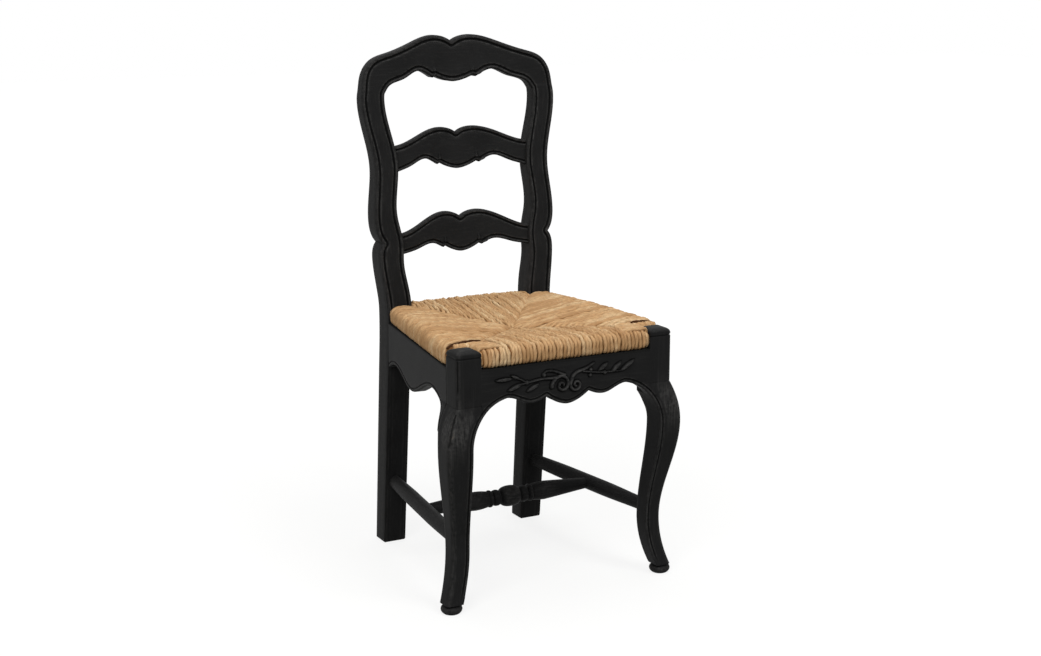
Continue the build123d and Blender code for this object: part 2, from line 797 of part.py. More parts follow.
def cut_post():
    """Right-hand post with its mortises and the tenon on its head."""
    body = post + head_tenon() - side_apron_tenons(joint_fit)[1] - rear_apron_tenon(joint_fit)
    body -= rail_tenon(*rear_rail_ends, joint_fit)
    body -= rail_tenon(side_rail_rear, side_rail_front, joint_fit)
    body -= slat_tenon(upper_slat_height, upper_slat_end, joint_fit)
    body -= slat_tenon(lower_slat_height, lower_slat_end, joint_fit)
    return body - side_stretcher_tenons(joint_fit)[1]


def cut_side_apron():
    front_peg, rear_peg = side_apron_tenons()
    ahead = Pos(0, block_half, 0) * Box(reach, reach, reach, align=(Align.CENTER, Align.MAX, Align.CENTER))
    return side_apron() - ahead - legs - posts + front_peg + rear_peg


def cut_side_rail():
    body = rail_bar(side_rail_line(0), side_rail_line(rear_rail_y)) - legs - posts
    body += rail_tenon(side_rail_front, side_rail_rear)
    return body + rail_tenon(side_rail_rear, side_rail_front)


def cut_side_stretcher():
    front_peg, rear_peg = side_stretcher_tenons()
    return stretcher - legs - posts + front_peg + rear_peg - cross_tenon(joint_fit)


def notch(x, y_low, y_high):
    """Upright clearance through the rush, outwards from x."""
    corner = Pos(x, y_low, seat_height - reach / 2)
    return corner * Box(reach, y_high - y_low, reach, align=(Align.MIN, Align.MIN, Align.MIN))


def notched(body, gap):
    """A sheet of rush cut clear of the leg blocks and posts by a gap."""
    body = without_both(body, notch(block_inner_x - gap, -reach, block_half + gap))
    return without_both(body, notch(post_inner_x - gap, seat_depth - gap, reach))


def rush_stuffing():
    """Packed rush that fills the space between the rails."""
    inset = cord_diameter + rail_width + stuffing_gap
    return notched(pad(inset, 0.0), cord_diameter + stuffing_gap)


def rush_seat():
    """Rush notched round the blocks and posts, hollow where it is wound round the rails and stuffing."""
    gap = shoulder_gap
    body = notched(rush_blank(), gap)
    side_tunnel = rail_bar(side_rail_line(-block_half), side_rail_line(seat_depth + post_thickness), gap)
    body = without_both(body, side_tunnel)
    body -= rail_bar(*front_rail_ends, gap)
    body -= rail_bar(*rear_rail_ends, gap)
    return body - notched(pad(cord_diameter + rail_width - stuffing_gap, gap), cord_diameter)


pieces = {
    "crest_rail": without_both(crest_rail(), head_tenon(joint_fit)),
    "upper_back_slat": with_both(upper_slat - posts, slat_tenon(upper_slat_height, upper_slat_end)),
    "lower_back_slat": with_both(lower_slat - posts, slat_tenon(lower_slat_height, lower_slat_end)),
    "front_apron": with_both(front_apron() - legs, front_apron_tenon()),
    "rear_apron": with_both(rear_apron() - posts, rear_apron_tenon()),
    "front_seat_rail": with_both(rail_bar(*front_rail_ends), rail_tenon(*front_rail_ends)),
    "rear_seat_rail": with_both(rail_bar(*rear_rail_ends) - posts, rail_tenon(*rear_rail_ends)),
    "cross_stretcher": with_both(cross_stretcher() - stretchers, cross_tenon()),
    "rush_seat": rush_seat(),
    "rush_stuffing": rush_stuffing(),
}
sided = {
    "back_post": cut_post(),
    "front_leg": cut_leg(),
    "side_apron": cut_side_apron(),
    "side_seat_rail": cut_side_rail(),
    "side_stretcher": cut_side_stretcher(),
}
for name, piece in sided.items():
    pieces[name + "_right"] = piece
    pieces[name + "_left"] = mirrored(piece)

outline_box = Compound([solid for piece in pieces.values() for solid in piece.solids()]).bounding_box()
to_origin = Pos(0, -outline_box.center().Y, 0)
os.makedirs("parts", exist_ok=True)
for name, piece in pieces.items():
    solids = (to_origin * piece).solids()
    export_step(Compound(solids) if len(solids) > 1 else solids[0], "parts/" + name + ".step")
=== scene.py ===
"""Rush seat chair: the finish of every surface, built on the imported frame.

Sizes are in millimetres and are drawn with y = 0 through the middle of the front leg blocks, +Z up and the
chair facing -Y. A finished piece is moved into the frame and turned to metres when its mesh is made.
"""
import math

import bpy
import numpy as np
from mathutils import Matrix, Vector


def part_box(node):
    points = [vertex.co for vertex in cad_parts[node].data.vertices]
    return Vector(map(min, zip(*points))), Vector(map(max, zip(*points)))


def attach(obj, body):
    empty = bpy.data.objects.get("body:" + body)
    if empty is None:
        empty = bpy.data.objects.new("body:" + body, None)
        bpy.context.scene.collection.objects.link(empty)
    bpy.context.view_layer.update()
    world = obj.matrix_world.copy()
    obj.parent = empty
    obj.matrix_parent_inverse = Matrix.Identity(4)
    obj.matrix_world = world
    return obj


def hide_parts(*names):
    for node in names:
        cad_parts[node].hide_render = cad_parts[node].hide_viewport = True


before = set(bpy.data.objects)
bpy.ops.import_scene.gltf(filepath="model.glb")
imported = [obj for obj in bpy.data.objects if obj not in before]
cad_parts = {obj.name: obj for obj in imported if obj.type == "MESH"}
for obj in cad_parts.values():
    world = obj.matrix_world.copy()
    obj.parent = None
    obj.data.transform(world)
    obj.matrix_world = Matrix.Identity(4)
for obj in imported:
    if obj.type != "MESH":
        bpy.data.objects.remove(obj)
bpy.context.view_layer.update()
rng = np.random.default_rng(11)

# Sizes shared by several pieces
BLOCK = 46.0                 # square block at the top of a front leg
BLOCK_X = 193.5              # its middle, from the middle of the chair
BLOCK_TOP = 475.0
SEAT_DEPTH = 354.0           # from the middle of the blocks to the front of the back posts
SEAT_UNDER = 440.0           # underside of the rush along the front
SEAT_SLOPE = 11.0 / 377.0    # rise of the rush towards the back
POST_X = 153.0               # a post's middle at the floor
POST_WIDTH = 46.5
POST_THICKNESS = 46.0        # at the seat; the post thins towards the floor and the crest
POST_FOOT = 39.0
POST_TOP = 880.0             # joint between post and crest
RAKE = math.tan(math.radians(5.9))
SPLAY = math.tan(math.radians(5.6))
KNEE_Z = 300.0
BROW_Z = 376.0
KNEE_HOLLOW = 86.0           # radius of the hollow between a knee and the aprons
APRON_THICKNESS = 22.0
SEAT_GAP = 0.3               # clearance between the aprons and the rush above them
STRETCHER_Z = 126.5

BLOCK_HALF = BLOCK / 2
BLOCK_IN = BLOCK_X - BLOCK_HALF
BLOCK_OUT = BLOCK_X + BLOCK_HALF
POST_IN = POST_X - POST_WIDTH / 2
POST_OUT = POST_X + POST_WIDTH / 2
Y_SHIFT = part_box("front_apron")[0].y * 1000 + BLOCK_HALF
MM = 0.001


# Curves

def smooth_curve(points, start=None, end=None, step=1.0):
    """Evenly spaced points on a cubic curve through the given ones, with given directions at its ends."""
    p = np.asarray(points, float)
    h = np.linalg.norm(np.diff(p, axis=0), axis=1)
    n = len(p)
    rows, right = np.zeros((n, n)), np.zeros((n, 2))
    for i in range(1, n - 1):
        rows[i, i - 1:i + 2] = h[i], 2 * (h[i - 1] + h[i]), h[i - 1]
        right[i] = 3 * (h[i] / h[i - 1] * (p[i] - p[i - 1]) + h[i - 1] / h[i] * (p[i + 1] - p[i]))
    for i, given, chord, length in ((0, start, p[1] - p[0], h[0]), (n - 1, end, p[-1] - p[-2], h[-1])):
        rows[i, i] = 1
        right[i] = chord / length if given is None else np.asarray(given, float) / np.hypot(*given)
    slopes = np.linalg.solve(rows, right)
    found = []
    for i in range(n - 1):
        t = np.linspace(0, 1, 40)[:, None]
        found.append(
            (2 * t**3 - 3 * t**2 + 1) * p[i] + (t**3 - 2 * t**2 + t) * h[i] * slopes[i]
            + (3 * t**2 - 2 * t**3) * p[i + 1] + (t**3 - t**2) * h[i] * slopes[i + 1]
        )
    return evenly(np.vstack(found), step)


def lengths(line):
    """Distance along a line of points, at each point."""
    return np.concatenate([[0], np.cumsum(np.linalg.norm(np.diff(line, axis=0), axis=1))])


def evenly(line, step):
    """A line of points again, at even steps of about the given length."""
    along = lengths(line)
    places = np.linspace(0, along[-1], max(2, int(round(along[-1] / step)) + 1))
    return np.stack([np.interp(places, along, line[:, k]) for k in range(line.shape[1])], axis=1)


def line_of(x, y):
    """A line of points from their places, one of which may be the same all along."""
    return np.stack(np.broadcast_arrays(x, y), axis=1)


def at_x(line, x):
    """Heights of an outline at the given places across it."""
    order = np.argsort(line[:, 0], kind="stable")
    return np.interp(x, line[order, 0], line[order, 1])


def both_sides(half):
    """An outline from the left end to the right end, from its right half that starts in the middle."""
    return np.vstack([half[:0:-1] * [-1, 1], half])


def smoothstep(t):
    t = np.clip(t, 0, 1)
    return t * t * (3 - 2 * t)


def distance_to_line(points, line):
    """Shortest distance from each point to a line of points, and where along the line it is met."""
    flat = points.reshape(-1, 2)
    a, d = line[:-1], np.diff(line, axis=0)
    long = np.maximum((d**2).sum(1), 1e-12)
    best, place = np.full(len(flat), 1e9), np.zeros(len(flat))
    for i in range(len(a)):
        t = np.clip(((flat - a[i]) @ d[i]) / long[i], 0, 1)
        gap = np.hypot(*(flat - a[i] - t[:, None] * d[i]).T)
        nearer = gap < best
        best[nearer], place[nearer] = gap[nearer], (i + t)[nearer]
    return best.reshape(points.shape[:-1]), place.reshape(points.shape[:-1])


# Meshes

SHARP_EDGE = 40              # degrees between two faces that show as an edge


def make_piece(name, shape, material, replaces):
    """A finished piece: vertices, faces and attributes made a mesh in the frame, in metres."""
    verts, faces, attributes = shape
    mesh = bpy.data.meshes.new(name)
    placed = np.asarray(verts, float) + [0, Y_SHIFT, 0]
    mesh.from_pydata((placed * MM).tolist(), [], faces)
    for key, values in attributes.items():
        mesh.attributes.new(key, "FLOAT", "POINT").data.foreach_set("value", np.asarray(values, np.float32))
    mesh.shade_smooth()
    mesh.set_sharp_from_angle(angle=math.radians(SHARP_EDGE))
    mesh.materials.append(material)
    piece = bpy.data.objects.new(name, mesh)
    bpy.context.scene.collection.objects.link(piece)
    settle(piece, replaces)


def settle(piece, replaces):
    """Makes a piece ride on the chair in place of the CAD nodes that it stands for."""
    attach(piece, "root")
    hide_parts(*replaces)


def make_pair(name, shape, material, node):
    """A painted piece on each side of the chair, of which the left one is the right one's mirror image."""
    make_piece(name + "_right", shape, material, [node + "_right"])
    make_piece(name + "_left", in_mirror(*shape), material, [node + "_left"])


def in_mirror(verts, faces, attributes):
    return verts * [-1, 1, 1], [f[::-1] for f in faces], attributes


def skin(rings):
    """Vertices and outward faces of a closed skin over a row of rings, each of as many points."""
    rings = np.asarray(rings, float)
    n, m = rings.shape[:2]
    verts = rings.reshape(-1, 3).tolist()
    faces = []
    for i in range(n - 1):
        for k in range(m):
            a, b = i * m + k, i * m + (k + 1) % m
            faces.append((a, b, b + m, a + m))
    for i, turn in ((0, -1), (n - 1, 1)):
        centre = len(verts)
        verts.append(rings[i].mean(0).tolist())
        for k in range(m):
            pair = (i * m + k, i * m + (k + 1) % m)
            faces.append((centre, *pair[::turn]))
    verts = np.array(verts)
    return verts, outward(verts, faces)


def outward(verts, faces):
    """Faces turned so that the closed skin they make has its outside outwards."""
    volume = 0.0
    for f in faces:
        for k in range(1, len(f) - 1):
            volume += np.dot(verts[f[0]], np.cross(verts[f[k]], verts[f[k + 1]]))
    return faces if volume > 0 else [f[::-1] for f in faces]


# Moulded boards. A moulding is a list of (distance from the edge, depth below the face, share of wear and
# painted highlight, share of painted shade).

# bead, groove and field: wear on the bead, painted highlights on its inner shoulder and on the field's edge
# beside the groove, painted shade in the groove
EDGE_BEAD = [
    (0.0, 3.6, 0.2, 0.0), (0.4, 2.2, 0.4, 0.0), (1.2, 1.0, 0.4, 0.0), (2.5, 0.25, 0.35, 0.0),
    (4.0, 0.0, 0.6, 0.0), (5.4, 0.3, 1.0, 0.0), (6.5, 1.2, 0.3, 0.3), (7.3, 2.6, 0.0, 0.9),
    (8.2, 3.6, 0.0, 1.0), (9.2, 3.7, 0.0, 1.0), (10.1, 2.9, 0.0, 0.9), (10.9, 1.8, 0.5, 0.3),
    (11.9, 1.15, 0.8, 0.0), (13.4, 1.0, 0.2, 0.0),
]
# a lower edge: its downward-facing rounding has no wear and carries painted shade; the rest is the bead above
LOWER_BEAD = [(0.0, 3.6, 0.0, 0.9), (0.4, 2.2, 0.0, 0.8), (1.2, 1.0, 0.0, 0.6), (2.5, 0.25, 0.2, 0.2)]
LOWER_BEAD += EDGE_BEAD[4:]
EASED_EDGE = [(0.0, 2.4, 0.6, 0.0), (0.5, 1.2, 1.0, 0.0), (1.3, 0.45, 0.9, 0.0), (2.6, 0.0, 0.3, 0.0)]
# SHADED_EDGE: painted shade along an apron's top edge, under the rush roll
SHADED_EDGE = [(0.0, 0.9, 0.0, 0.7), (0.8, 0.2, 0.0, 0.6), (2.0, 0.0, 0.0, 0.5), (4.0, 0.0, 0.0, 0.0)]
WORN_FROM = 1.6              # carving is rubbed from this height on, and fully so WORN_OVER higher
WORN_OVER = 2.4
LEAST_WEAR_AND_HIGHLIGHT = 0.3             # share of its wear and painted highlight that a moulding keeps where it fades out
BACK_WEAR = 0.5              # share of the front's wear that the edges of the back have
EDGE_WEAR = 0.25
BACK_FIELD = 3               # columns of points across the plain back of a board


def scaled(moulding, width, height):
    return [(d * width, e * height, wear_and_highlight, painted_shade_and_crack) for d, e, wear_and_highlight, painted_shade_and_crack in moulding]


def inset_places(start, end, edge, distances):
    """The shares of each line from start to end that lie at the given distances from the edge."""
    span = np.linalg.norm(end - start, axis=1)
    searched = 2.2 * max(distances)
    share = np.minimum(1.0, searched / span)
    steps = np.linspace(0, 1, 60)
    t = share[:, None] * steps[None, :]
    points = start[:, None] + t[..., None] * (end - start)[:, None]
    gap, _ = distance_to_line(points, edge)
    gap = np.maximum.accumulate(gap, axis=1) + steps * 1e-6
    return np.stack([np.interp(distances, gap[i], t[i]) for i in range(len(start))])


def moulded_board(upper, lower, place, upper_moulding, lower_moulding, thickness, field=8, fade=None,
                  relief=None, lower_edge=None):
    """A board between two outlines of as many points, with a moulding along each edge of its front.

    place(u, v, depth) gives the board's points. fade is the mouldings' strength along the board,
    relief(plan) the height and painted shade of any carving on its front, and lower_edge the line that the
    lower moulding follows where it runs on past the board. Returns vertices, faces and each vertex's share
    of wear and painted highlight and of painted shade.
    """
    n = len(upper)
    fade = np.ones(n) if fade is None else fade
    lower_edge = lower if lower_edge is None else lower_edge
    columns = []

    def add_column(share, depth, wear_and_highlight=0.0, painted_shade_and_crack=0.0, carved=False):
        columns.append((*(np.broadcast_to(value, (n,)) for value in (share, depth, wear_and_highlight, painted_shade_and_crack)), carved))

    def add_moulding(moulding, from_upper, on_back):
        start, end, edge = (upper, lower, upper) if from_upper else (lower, upper, lower_edge)
        shares = inset_places(start, end, edge, [row[0] for row in moulding])
        rows = list(enumerate(moulding))
        if from_upper == on_back:
            rows = rows[::-1]
        for k, (_, depth, wear_and_highlight, painted_shade_and_crack) in rows:
            share = shares[:, k] if from_upper else 1 - shares[:, k]
            if on_back:
                add_column(share, thickness - depth, BACK_WEAR * wear_and_highlight)
            else:
                plain = min(depth, EASED_EDGE[0][1]) if k == 0 else 0.0
                worn_and_highlighted = wear_and_highlight * np.maximum(fade, LEAST_WEAR_AND_HIGHLIGHT)
                add_column(share, plain + (depth - plain) * fade, worn_and_highlighted, painted_shade_and_crack * fade, True)

    def add_face(first, last, on_back, depth, count):
        """One face of the board: the moulding that is met first, the field, then the other moulding."""
        add_moulding(first, not on_back, on_back)
        start = len(columns)
        add_moulding(last, on_back, on_back)
        near, far = columns[start - 1][0], columns[start][0]
        other = columns[start:]
        del columns[start:]
        for k in range(1, count + 1):
            add_column(near + (far - near) * k / (count + 1), depth, carved=not on_back)
        columns.extend(other)

    def add_edge(share, first, last):
        for k in (0.25, 0.5, 0.75):
            add_column(share, first + (last - first) * k, EDGE_WEAR)

    add_face(upper_moulding, lower_moulding, False, upper_moulding[-1][1] * fade, field)
    add_edge(1.0, columns[-1][1], thickness - EASED_EDGE[0][1])
    add_face(EASED_EDGE, EASED_EDGE, True, thickness, BACK_FIELD)
    add_edge(0.0, columns[-1][1], columns[0][1])

    share, depth, wear_and_highlight, painted_shade_and_crack = (np.stack([c[k] for c in columns], axis=1).astype(float) for k in range(4))
    plan = upper[:, None] + share[..., None] * (lower - upper)[:, None]
    if relief is not None:
        carved = np.array([c[4] for c in columns])
        height, shade = relief(plan[:, carved])
        depth[:, carved] -= height
        wear_and_highlight[:, carved] = np.maximum(wear_and_highlight[:, carved], smoothstep((height - WORN_FROM) / WORN_OVER))
        # the carving's painted shade on the ground beside it
        painted_shade_and_crack[:, carved] = np.maximum(painted_shade_and_crack[:, carved], shade)
    verts, faces = skin(place(plan[..., 0], plan[..., 1], depth))
    pad = np.zeros(len(verts) - wear_and_highlight.size)
    return verts, faces, {"wear_and_highlight": np.append(wear_and_highlight, pad), "painted_shade_and_crack": np.append(painted_shade_and_crack, pad)}


# Back posts, crest and slats

def post_front(z):
    """Front of a back post at height z: two straight leans joined by a long bend at the seat."""
    bend_z, radius = 450.0, 600.0
    low, high = radius * math.sin(math.atan(SPLAY)), radius * math.sin(math.atan(RAKE))
    z = np.asarray(z, float)
    below = bend_z - low - z
    above = z - bend_z - high
    bend = radius - np.sqrt(np.maximum(radius**2 - (z - bend_z) ** 2, 1.0))
    leg = radius * (1 - math.cos(math.atan(SPLAY))) + below * SPLAY
    back = radius * (1 - math.cos(math.atan(RAKE))) + above * RAKE
    return SEAT_DEPTH + np.where(below > 0, leg, np.where(above > 0, back, bend))


CREST_THICKNESS = 28.0
CREST_TOP_THICKNESS = 14.0   # its back slopes forward to this
CREST_HEIGHT = 105.0         # from the posts to its top
CREST_FACE = 5.0             # front part of its thickness, which stays the same
CREST_BOW = 27.0
HEAD_DRIFT = 27.0            # the post's sideways drift at the crest
SWAY = [                     # heights on the serpentine post, and its sideways drift there
    (470.0, 0.0), (562.0, 9.5), (601.0, 6.0), (652.0, 15.0), (744.0, 8.0), (862.0, 28.0),
    (POST_TOP, HEAD_DRIFT),
]
NOTCH = 4.5                  # extra depth of the notch on the post's outer edge
FULLER = 4.0                 # how much fuller the post's inner edge is just above the seat
POST_FULL = (391.4, 511.7)   # heights between which the post has its full thickness
MOULDING_FOOT = 462.0        # the post's mouldings start here and grow to their full depth
MOULDING_GROWTH = 14.0
FOOT_EASE = 2.0              # rounding of the post's foot
LOWER_WIDTH = 0.92           # a lower or inner moulding's width beside that of an upper or outer one


def post_edges():
    """Outer and inner edge of the right-hand post in front view, as lines of points across and up."""
    outer = [(POST_OUT + d, z) for z, d in SWAY]
    inner = [(POST_IN - FULLER, SWAY[0][0]), (POST_IN - FULLER + 5.0, 520.0), (POST_IN + 7.0, SWAY[1][0])]
    inner += [(POST_IN + d, z) for z, d in SWAY[2:]]
    notch = (outer[2][0] - NOTCH, outer[2][1])
    lower_swell = smooth_curve([*outer[:2], notch], (0, 1), (-1, 1.1))
    upper_swell = smooth_curve([notch, *outer[3:]], (1, 1.1), (-0.2, 1))
    outer_line = np.vstack([[(POST_OUT, 0.0)], lower_swell, upper_swell[1:]])
    inner_line = np.vstack([[(POST_IN, 0.0), (POST_IN, SEAT_UNDER)], smooth_curve(inner, (0, 1), (-0.2, 1))])
    return outer_line, inner_line


def back_posts(material):
    """Posts from the floor to the crest, with rows of points closer where their edges curve more."""
    z = np.concatenate([
        [0.0, 0.8, FOOT_EASE], np.arange(12.0, 440.0, 12.0), np.arange(440.0, 588.0, 3.0),
        np.arange(588.0, 614.0, 1.0), np.arange(614.0, POST_TOP, 2.5), [POST_TOP],
    ])
    outer, inner = (line_of(np.interp(z, line[:, 1], line[:, 0]), z) for line in post_edges())
    foot_ease = FOOT_EASE * (1 - smoothstep(z / FOOT_EASE))
    outer[:, 0] -= foot_ease
    inner[:, 0] += foot_ease
    thickness = np.interp(z, [0.0, *POST_FULL, POST_TOP],
                          [POST_FOOT, POST_THICKNESS, POST_THICKNESS, CREST_THICKNESS])

    def place(u, v, depth):
        return np.stack([u, post_front(v) + depth, v], axis=-1)

    board = moulded_board(outer, inner, place, EDGE_BEAD, scaled(EDGE_BEAD, LOWER_WIDTH, 1.0), thickness,
                          fade=smoothstep((z - MOULDING_FOOT) / MOULDING_GROWTH))
    make_pair("moulded_post", board, material, "back_post")


def hanging_lobe(cusp, drop):
    """Right half of the lobe that hangs between two cusps, from its middle out to the cusp."""
    x = np.linspace(0, cusp[0], 40)
    return line_of(x, drop + (cusp[1] - drop) * (x / cusp[0]) ** 1.75)


TOOTH = 6.0                  # blunt end of the moulding beside a hanging lobe


def scalloped_edge(drop, cusp, arch):
    """Right half of a lower edge: hanging lobe, a small tooth at the cusp, then the arch out to its end."""
    tooth = (cusp[0] + TOOTH, cusp[1] - 0.42 * TOOTH)
    return np.vstack([hanging_lobe(cusp, drop), smooth_curve([tooth, *arch], (1, 0.55))])


def half_way(start, end):
    return ((start[0] + end[0]) / 2, (start[1] + end[1]) / 2)


def bead_ends(cusp):
    """Relief of the curled end in which the moulding stops beside each cusp."""
    x, z = cusp
    curl = [(x + 15.0, z + 4.0), (x + 6.0, z + 3.5), (x + 0.5, z + 6.5), (x + 0.5, z + 12.0)]

    def relief(plan):
        height, clear = ridge(curl, np.abs(plan), 6.5, 2.6, lambda t: 0.8 + 0.2 * t)
        # painted shade on the ground round the curl
        return height, np.where(height > 0, 0.0, smoothstep((2.0 - clear) / 2.0))

    return relief


def bow(x, depth, flat_from):
    """How far a bowed rail lies behind its ends."""
    return depth * (1 - smoothstep(np.abs(x) / flat_from))


def crest(material):
    outer_x = POST_OUT + HEAD_DRIFT
    inner_x = POST_IN + HEAD_DRIFT
    cusp, peak, corner = (40, 907.5), (78, 919), (148, 892)
    top = [(0, 973), (40, 985), (92, 972), (143, 955), (179.5, 941), (197, 916), (outer_x, POST_TOP)]
    top_line = smooth_curve(top, (1, 0.75), (0.2, -1))
    low_line = scalloped_edge(896.5, cusp, [peak, half_way(peak, corner), corner, (inner_x, POST_TOP)])
    steps = np.linspace(0, 1, 150)

    def spread(line):
        along = lengths(line)
        return line_of(*(np.interp(steps * along[-1], along, line[:, k]) for k in (0, 1)))

    def place(u, v, depth):
        y = post_front(POST_TOP) + (v - POST_TOP) * RAKE + bow(u, CREST_BOW, inner_x)
        thinned = (CREST_THICKNESS - CREST_TOP_THICKNESS) * (v - POST_TOP) / CREST_HEIGHT
        behind = np.clip((depth - CREST_FACE) / (CREST_THICKNESS - CREST_FACE), 0, 1)
        return np.stack([u, y + depth - behind * thinned, v], axis=-1)

    upper, lower = (both_sides(spread(line)) for line in (top_line, low_line))
    board = moulded_board(upper, lower, place, EDGE_BEAD, scaled(LOWER_BEAD, LOWER_WIDTH, 1.0),
                          CREST_THICKNESS, field=10, relief=bead_ends(cusp))
    make_piece("moulded_crest", board, material, ["crest_rail"])


SLAT_THICKNESS = 12.0
SLAT_BOW = 22.0
SLAT_SETBACK = 7.0           # from the front of the posts
SHOULDER = POST_IN + 8.0     # half of a slat's length between the posts


def back_slat(name, material, level, end, cleft, lobe, drop, cusp, peak):
    """A bowed slat with two lobes over a hanging middle. Heights are from the middle of its ends."""
    head, foot = (SHOULDER, level + end / 2), (SHOULDER, level - end / 2)
    cusp, peak = (cusp[0], level + cusp[1]), (peak[0], level + peak[1])
    top_line = smooth_curve([(0, level + cleft), (lobe[0], level + lobe[1]), head], (1, 0.8), (1, -0.12))
    low_line = scalloped_edge(level + drop, cusp, [peak, half_way(peak, foot), foot])
    x = np.concatenate([np.arange(0, SHOULDER, 1.1), [SHOULDER, SHOULDER + 6, SHOULDER + 14]])

    def place(u, v, depth):
        y = post_front(level) + SLAT_SETBACK + (v - level) * RAKE + bow(u, SLAT_BOW, SHOULDER)
        return np.stack([u, y + depth, v], axis=-1)

    upper, lower = (both_sides(line_of(x, at_x(line, x))) for line in (top_line, low_line))
    board = moulded_board(upper, lower, place, scaled(EDGE_BEAD, 0.85, 0.85), scaled(LOWER_BEAD, 0.75, 0.85),
                          SLAT_THICKNESS, relief=bead_ends(cusp))
    make_piece("moulded_" + name, board, material, [name])


# The front legs' shape, which the aprons run into

ANKLE_Z = 112.0              # where the leg is slimmest
ANKLE_WIDTH = 33.4
ANKLE_OUT = 5.2
ANKLE_BACK = 18.4
KNEE_WIDTH = 47.6
KNEE_OUT = 19.8
KNEE_FORWARD = 7.2
NECK_WIDTH = 32.0
FOOT_HEIGHT = 17.0
FOOT_OUT = 24.0
FOOT_BACK = 6.0
LEG_CORNER = 9.0             # rounding of the outer front corner, which is smaller on the block
BLOCK_CORNER = 8.0
REAR_ARRIS = 3.0
KNEE_IN = BLOCK_X + KNEE_OUT - KNEE_WIDTH / 2   # inner and rear face of the knee where it is fullest
KNEE_BACK = KNEE_WIDTH / 2 - KNEE_FORWARD
EAR = 45.0                   # how far the knee's swell runs on along an apron


def leg_sides(z):
    """Outer, inner, front and rear side of the right-hand leg at height z, from the block's middle."""
    if z <= KNEE_Z:
        if z <= ANKLE_Z:
            t = ((ANKLE_Z - z) / (ANKLE_Z - FOOT_HEIGHT)) ** 2
            far = (FOOT_OUT, FOOT_BACK, NECK_WIDTH)
        else:
            t = float(smoothstep((z - ANKLE_Z) / (KNEE_Z - ANKLE_Z)))
            far = (KNEE_OUT, -KNEE_FORWARD, KNEE_WIDTH)
        out = ANKLE_OUT + (far[0] - ANKLE_OUT) * t
        back = ANKLE_BACK + (far[1] - ANKLE_BACK) * t
        half = (ANKLE_WIDTH + (far[2] - ANKLE_WIDTH) * t) / 2
        return out + half, out - half, back - half, back + half
    sideways, forward = knee_overhang(z)
    climb = min(z - KNEE_Z, KNEE_HOLLOW)
    hollow = KNEE_HOLLOW - math.sqrt(KNEE_HOLLOW**2 - climb**2)
    inner = max(KNEE_IN - BLOCK_X - hollow, -BLOCK_HALF)
    return BLOCK_HALF + sideways, inner, -BLOCK_HALF - forward, min(KNEE_BACK + hollow, BLOCK_HALF)


def knee_overhang(z):
    """How far the leg stands outside its block above the knee, sideways and forward."""
    fade = 1 - np.clip((z - KNEE_Z) / (BROW_Z - KNEE_Z), 0, 1) ** 2
    sideways = KNEE_OUT + KNEE_WIDTH / 2 - BLOCK_HALF
    forward = KNEE_FORWARD + KNEE_WIDTH / 2 - BLOCK_HALF
    return sideways * fade, forward * fade


def ear_swell(overhang, away, depth):
    """How far an apron's face swells with the knee beside it, fading out along it and towards its back."""
    return overhang * (1 - smoothstep(away / EAR)) * (1 - depth / APRON_THICKNESS)


# Aprons

def hollow_edge(offset):
    """Height of the hollow between knee and apron, at a distance from the knee's inner face."""
    return KNEE_Z + np.sqrt(np.maximum(KNEE_HOLLOW**2 - (KNEE_HOLLOW - offset) ** 2, 0.0))


def front_apron_edge():
    """Right half of the front apron's lower edge, from the middle to the leg."""
    arch_x, cusp = 120.0, (43, 378.5)
    scallop = smooth_curve([cusp, (76, 370.5), (arch_x, hollow_edge(KNEE_IN - arch_x))], (1, -0.5), (1, 0))
    x = np.append(np.arange(arch_x + 1, BLOCK_IN, 1.0), BLOCK_IN)
    ear = line_of(x, hollow_edge(KNEE_IN - x))
    return np.vstack([hanging_lobe(cusp, 360.0), scallop[1:], ear])


def inside_edge():
    """Right half of the line that the front bead follows: along the apron, then down inside the leg."""
    leg = [(BLOCK_X + leg_sides(z)[1], z) for z in np.arange(352.0, FOOT_HEIGHT - 4, -3.0)]
    return np.vstack([front_apron_edge(), leg])


def ridge(points, plan, width, height, taper):
    """Height of a rounded ridge carved along a line, and how far each point lies outside it.

    taper(t) is its share of the width along the line, from 0 to 1.
    """
    line = smooth_curve(points, step=0.8) if len(points) > 2 else evenly(np.asarray(points, float), 0.8)
    reach = width + 6.0
    near = ((plan > line.min(0) - reach) & (plan < line.max(0) + reach)).all(-1)
    gap, where = np.full(near.shape, 99.0), np.zeros(near.shape)
    gap[near], where[near] = distance_to_line(plan[near], line)
    half = np.maximum(width / 2 * taper(where / (len(line) - 1)), 0.05)
    full = np.clip(half / (width / 2) + 0.35, 0, 1)
    return height * full * np.clip(1 - (gap / half) ** 2, 0, 1) ** 0.45, gap - half


def volute(centre, inner, outer, growth, turns, end, sense):
    """Points of a scroll that winds out from its eye and ends at an angle, in degrees."""
    t = np.linspace(0, 1, 34)
    angle = math.radians(end) - sense * 2 * math.pi * turns * (1 - t)
    radius = inner + (outer - inner) * t**growth
    return line_of(centre[0] + radius * np.cos(angle), centre[1] + radius * np.sin(angle))


